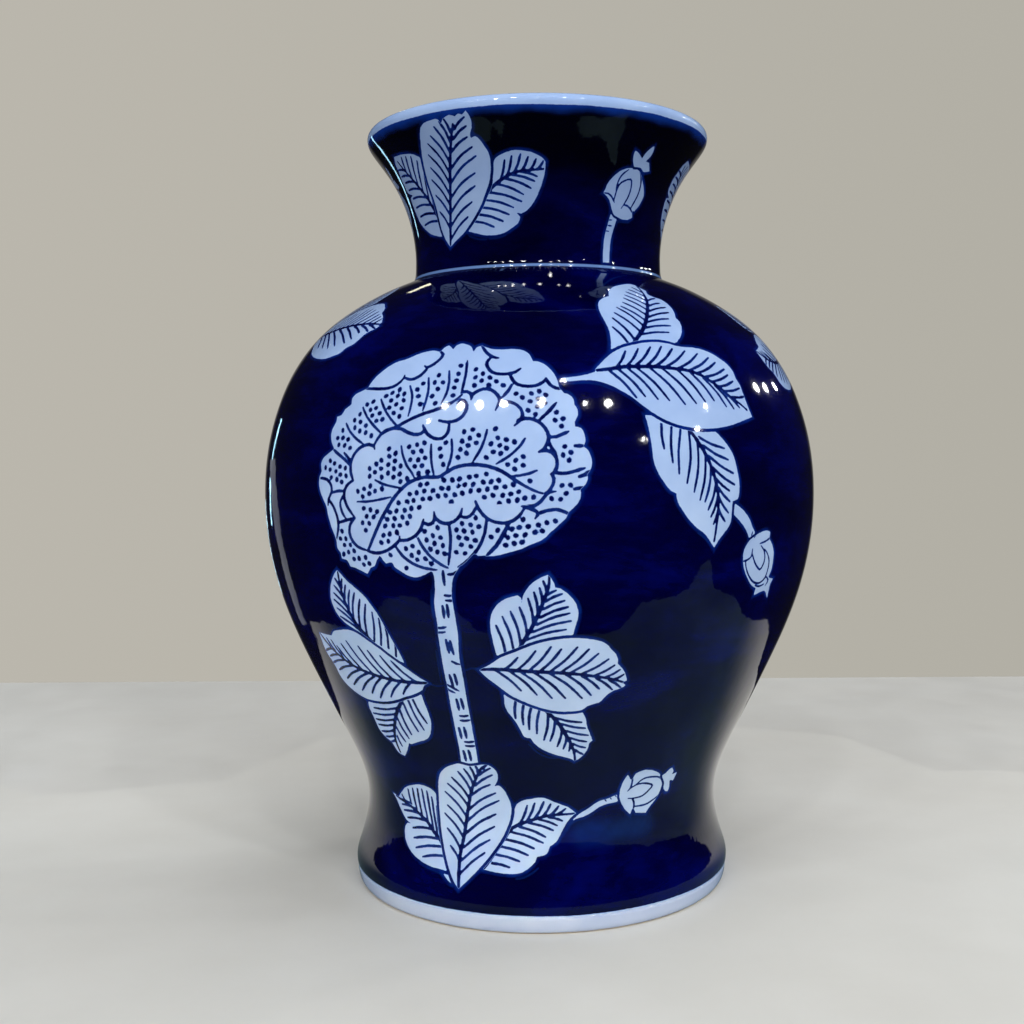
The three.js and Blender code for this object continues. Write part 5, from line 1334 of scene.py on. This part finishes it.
w = bpy.data.worlds.new("studio")
bpy.context.scene.world = w
w.use_nodes = True
t = w.node_tree
t.nodes.clear()
out = t.nodes.new("ShaderNodeOutputWorld")
bg = t.nodes.new("ShaderNodeBackground")
t.links.new(bg.outputs[0], out.inputs[0])
tc = t.nodes.new("ShaderNodeTexCoord")
sep = t.nodes.new("ShaderNodeSeparateXYZ")
t.links.new(tc.outputs["Generated"], sep.inputs[0])
rp = t.nodes.new("ShaderNodeValToRGB")
e = rp.color_ramp.elements
mr = t.nodes.new("ShaderNodeMapRange")
mr.inputs["From Min"].default_value = -1.0
mr.inputs["From Max"].default_value = 1.0
t.links.new(sep.outputs["Y"], mr.inputs["Value"])
t.links.new(mr.outputs[0], rp.inputs[0])
e[0].position, e[0].color = 0.955, (0.010, 0.010, 0.013, 1)
e[1].position, e[1].color = 0.995, (0.30, 0.285, 0.26, 1)
lp = t.nodes.new("ShaderNodeLightPath")
mx = t.nodes.new("ShaderNodeMix"); mx.data_type = "RGBA"
t.links.new(lp.outputs["Is Camera Ray"], mx.inputs[0])
mx2 = t.nodes.new("ShaderNodeMix"); mx2.data_type = "RGBA"
t.links.new(lp.outputs["Is Diffuse Ray"], mx2.inputs[0])
t.links.new(rp.outputs[0], mx2.inputs[6])
mx2.inputs[7].default_value = (0.26, 0.26, 0.26, 1)
t.links.new(mx2.outputs[2], mx.inputs[6])
rw = t.nodes.new("ShaderNodeValToRGB")
mw = t.nodes.new("ShaderNodeMapRange")
mw.inputs["From Min"].default_value = -0.45
mw.inputs["From Max"].default_value = 0.45
t.links.new(sep.outputs["X"], mw.inputs["Value"])
t.links.new(mw.outputs[0], rw.inputs[0])
rw.color_ramp.elements[0].color, rw.color_ramp.elements[1].color = lin(187, 183, 173), lin(177, 174, 164)
t.links.new(rw.outputs[0], mx.inputs[7])
t.links.new(mx.outputs[2], bg.inputs[0])
bg.inputs[1].default_value = 1.0


def area(name, loc, target, sx, sy, watts, color=(1, 1, 1), glossy=True):
    l = bpy.data.lights.new(name, "AREA")
    l.shape = "ELLIPSE" if name.startswith("downlight") else "RECTANGLE"
    l.size, l.size_y, l.energy, l.color = sx, sy, watts, color
    ob = bpy.data.objects.new(name, l)
    ob.location = loc
    ob.rotation_mode = "QUATERNION"
    ob.rotation_quaternion = (Vector(target) - Vector(loc)).to_track_quat("-Z", "Y")
    ob.visible_glossy = glossy
    bpy.context.scene.collection.objects.link(ob)
    return ob


area("soft_front", (0.35, -1.5, 1.25), (0, 0, 0.13), 1.2, 0.9, 8.8, (1.0, 0.995, 0.99), False)
area("soft_top", (0.25, -0.1, 1.6), (0, 0, 0.1), 1.3, 0.9, 6.5, (1.0, 0.995, 0.98), False)
area("soft_left", (-1.3, -0.9, 0.7), (0, 0, 0.12), 0.9, 0.9, 2.2, (0.95, 0.98, 1.0), False)
# warm light thrown back up by the table on the lower half
low = area("table_bounce", (-0.1, -0.95, 0.03), (0, 0, 0.03), 0.35, 0.03, 0.12, (1.0, 0.72, 0.30), False)
low.data.spread = math.radians(20)
# rows of ceiling downlights, mirrored as points of light
for i, (x, y, sz, p) in enumerate([(-2.97, -2.73, 0.11, 6), (-2.13, -2.34, 0.12, 8), (-1.76, -2.51, 0.14, 10), (-1.32, -2.62, 0.17, 14),
                                   (-0.76, -2.75, 0.19, 16), (0.05, -2.81, 0.17, 14), (0.46, -1.98, 0.11, 6), (1.01, -2.71, 0.12, 8),
                                   (1.58, -2.55, 0.19, 16), (4.0, -4.3, 0.14, 14), (5.2, -1.97, 0.16, 20), (4.0, -0.85, 0.16, 16),
                                   (4.5, 2.29, 0.22, 30), (4.8, 3.2, 0.2, 26), (5.0, 4.5, 0.2, 26)]):
    area(f"downlight_{i}", (x, y, 2.3), (0, 0, 0.15), sz, sz, 0.7 * p, (1.0, 0.99, 0.96), True)
# narrow lights behind, mirrored along the left edge of the neck and shoulder
for nm, loc, sx, sy, p, col in (("edge_cyan", (-0.755, 0.93, 0.17), 0.035, 0.30, 0.22, (0.42, 0.78, 1.0)),
                                ("edge_cyan_low", (-0.46, 1.11, 0.0), 0.02, 0.16, 0.05, (0.5, 0.8, 1.0)),
                                ("edge_warm", (-0.38, 1.25, 1.02), 0.16, 0.05, 0.10, (1.0, 0.95, 0.66))):
    ob = area(nm, loc, (0, 0, 0.18), sx, sy, p, col, True)
    ob.visible_camera = ob.visible_diffuse = False

cam = bpy.data.cameras.new("camera")
co = bpy.data.objects.new("camera", cam)
bpy.context.scene.collection.objects.link(co)
cam.sensor_width = 36.0
cam.lens = 1245.0 / 1024.0 * 36.0
cam.clip_start, cam.clip_end = 0.01, 50
co.location = (0.0, -0.4275, 0.1463)
co.rotation_mode = "XYZ"
pitch, roll = 0.0535, 0.00626
from mathutils import Matrix
co.rotation_mode = "QUATERNION"
co.rotation_quaternion = (Matrix.Rotation(math.pi / 2 - pitch, 3, "X") @ Matrix.Rotation(-roll, 3, "Z")).to_quaternion()
cam.shift_x = -27.6 / 1024.0
bpy.context.scene.camera = co
bpy.context.scene.view_settings.view_transform = "Standard"

print("skin vertices", n, "triangles", len(tri), "strokes", n_str, [len(o.data.polygons) for o in (lower, upper, neck_ob)])
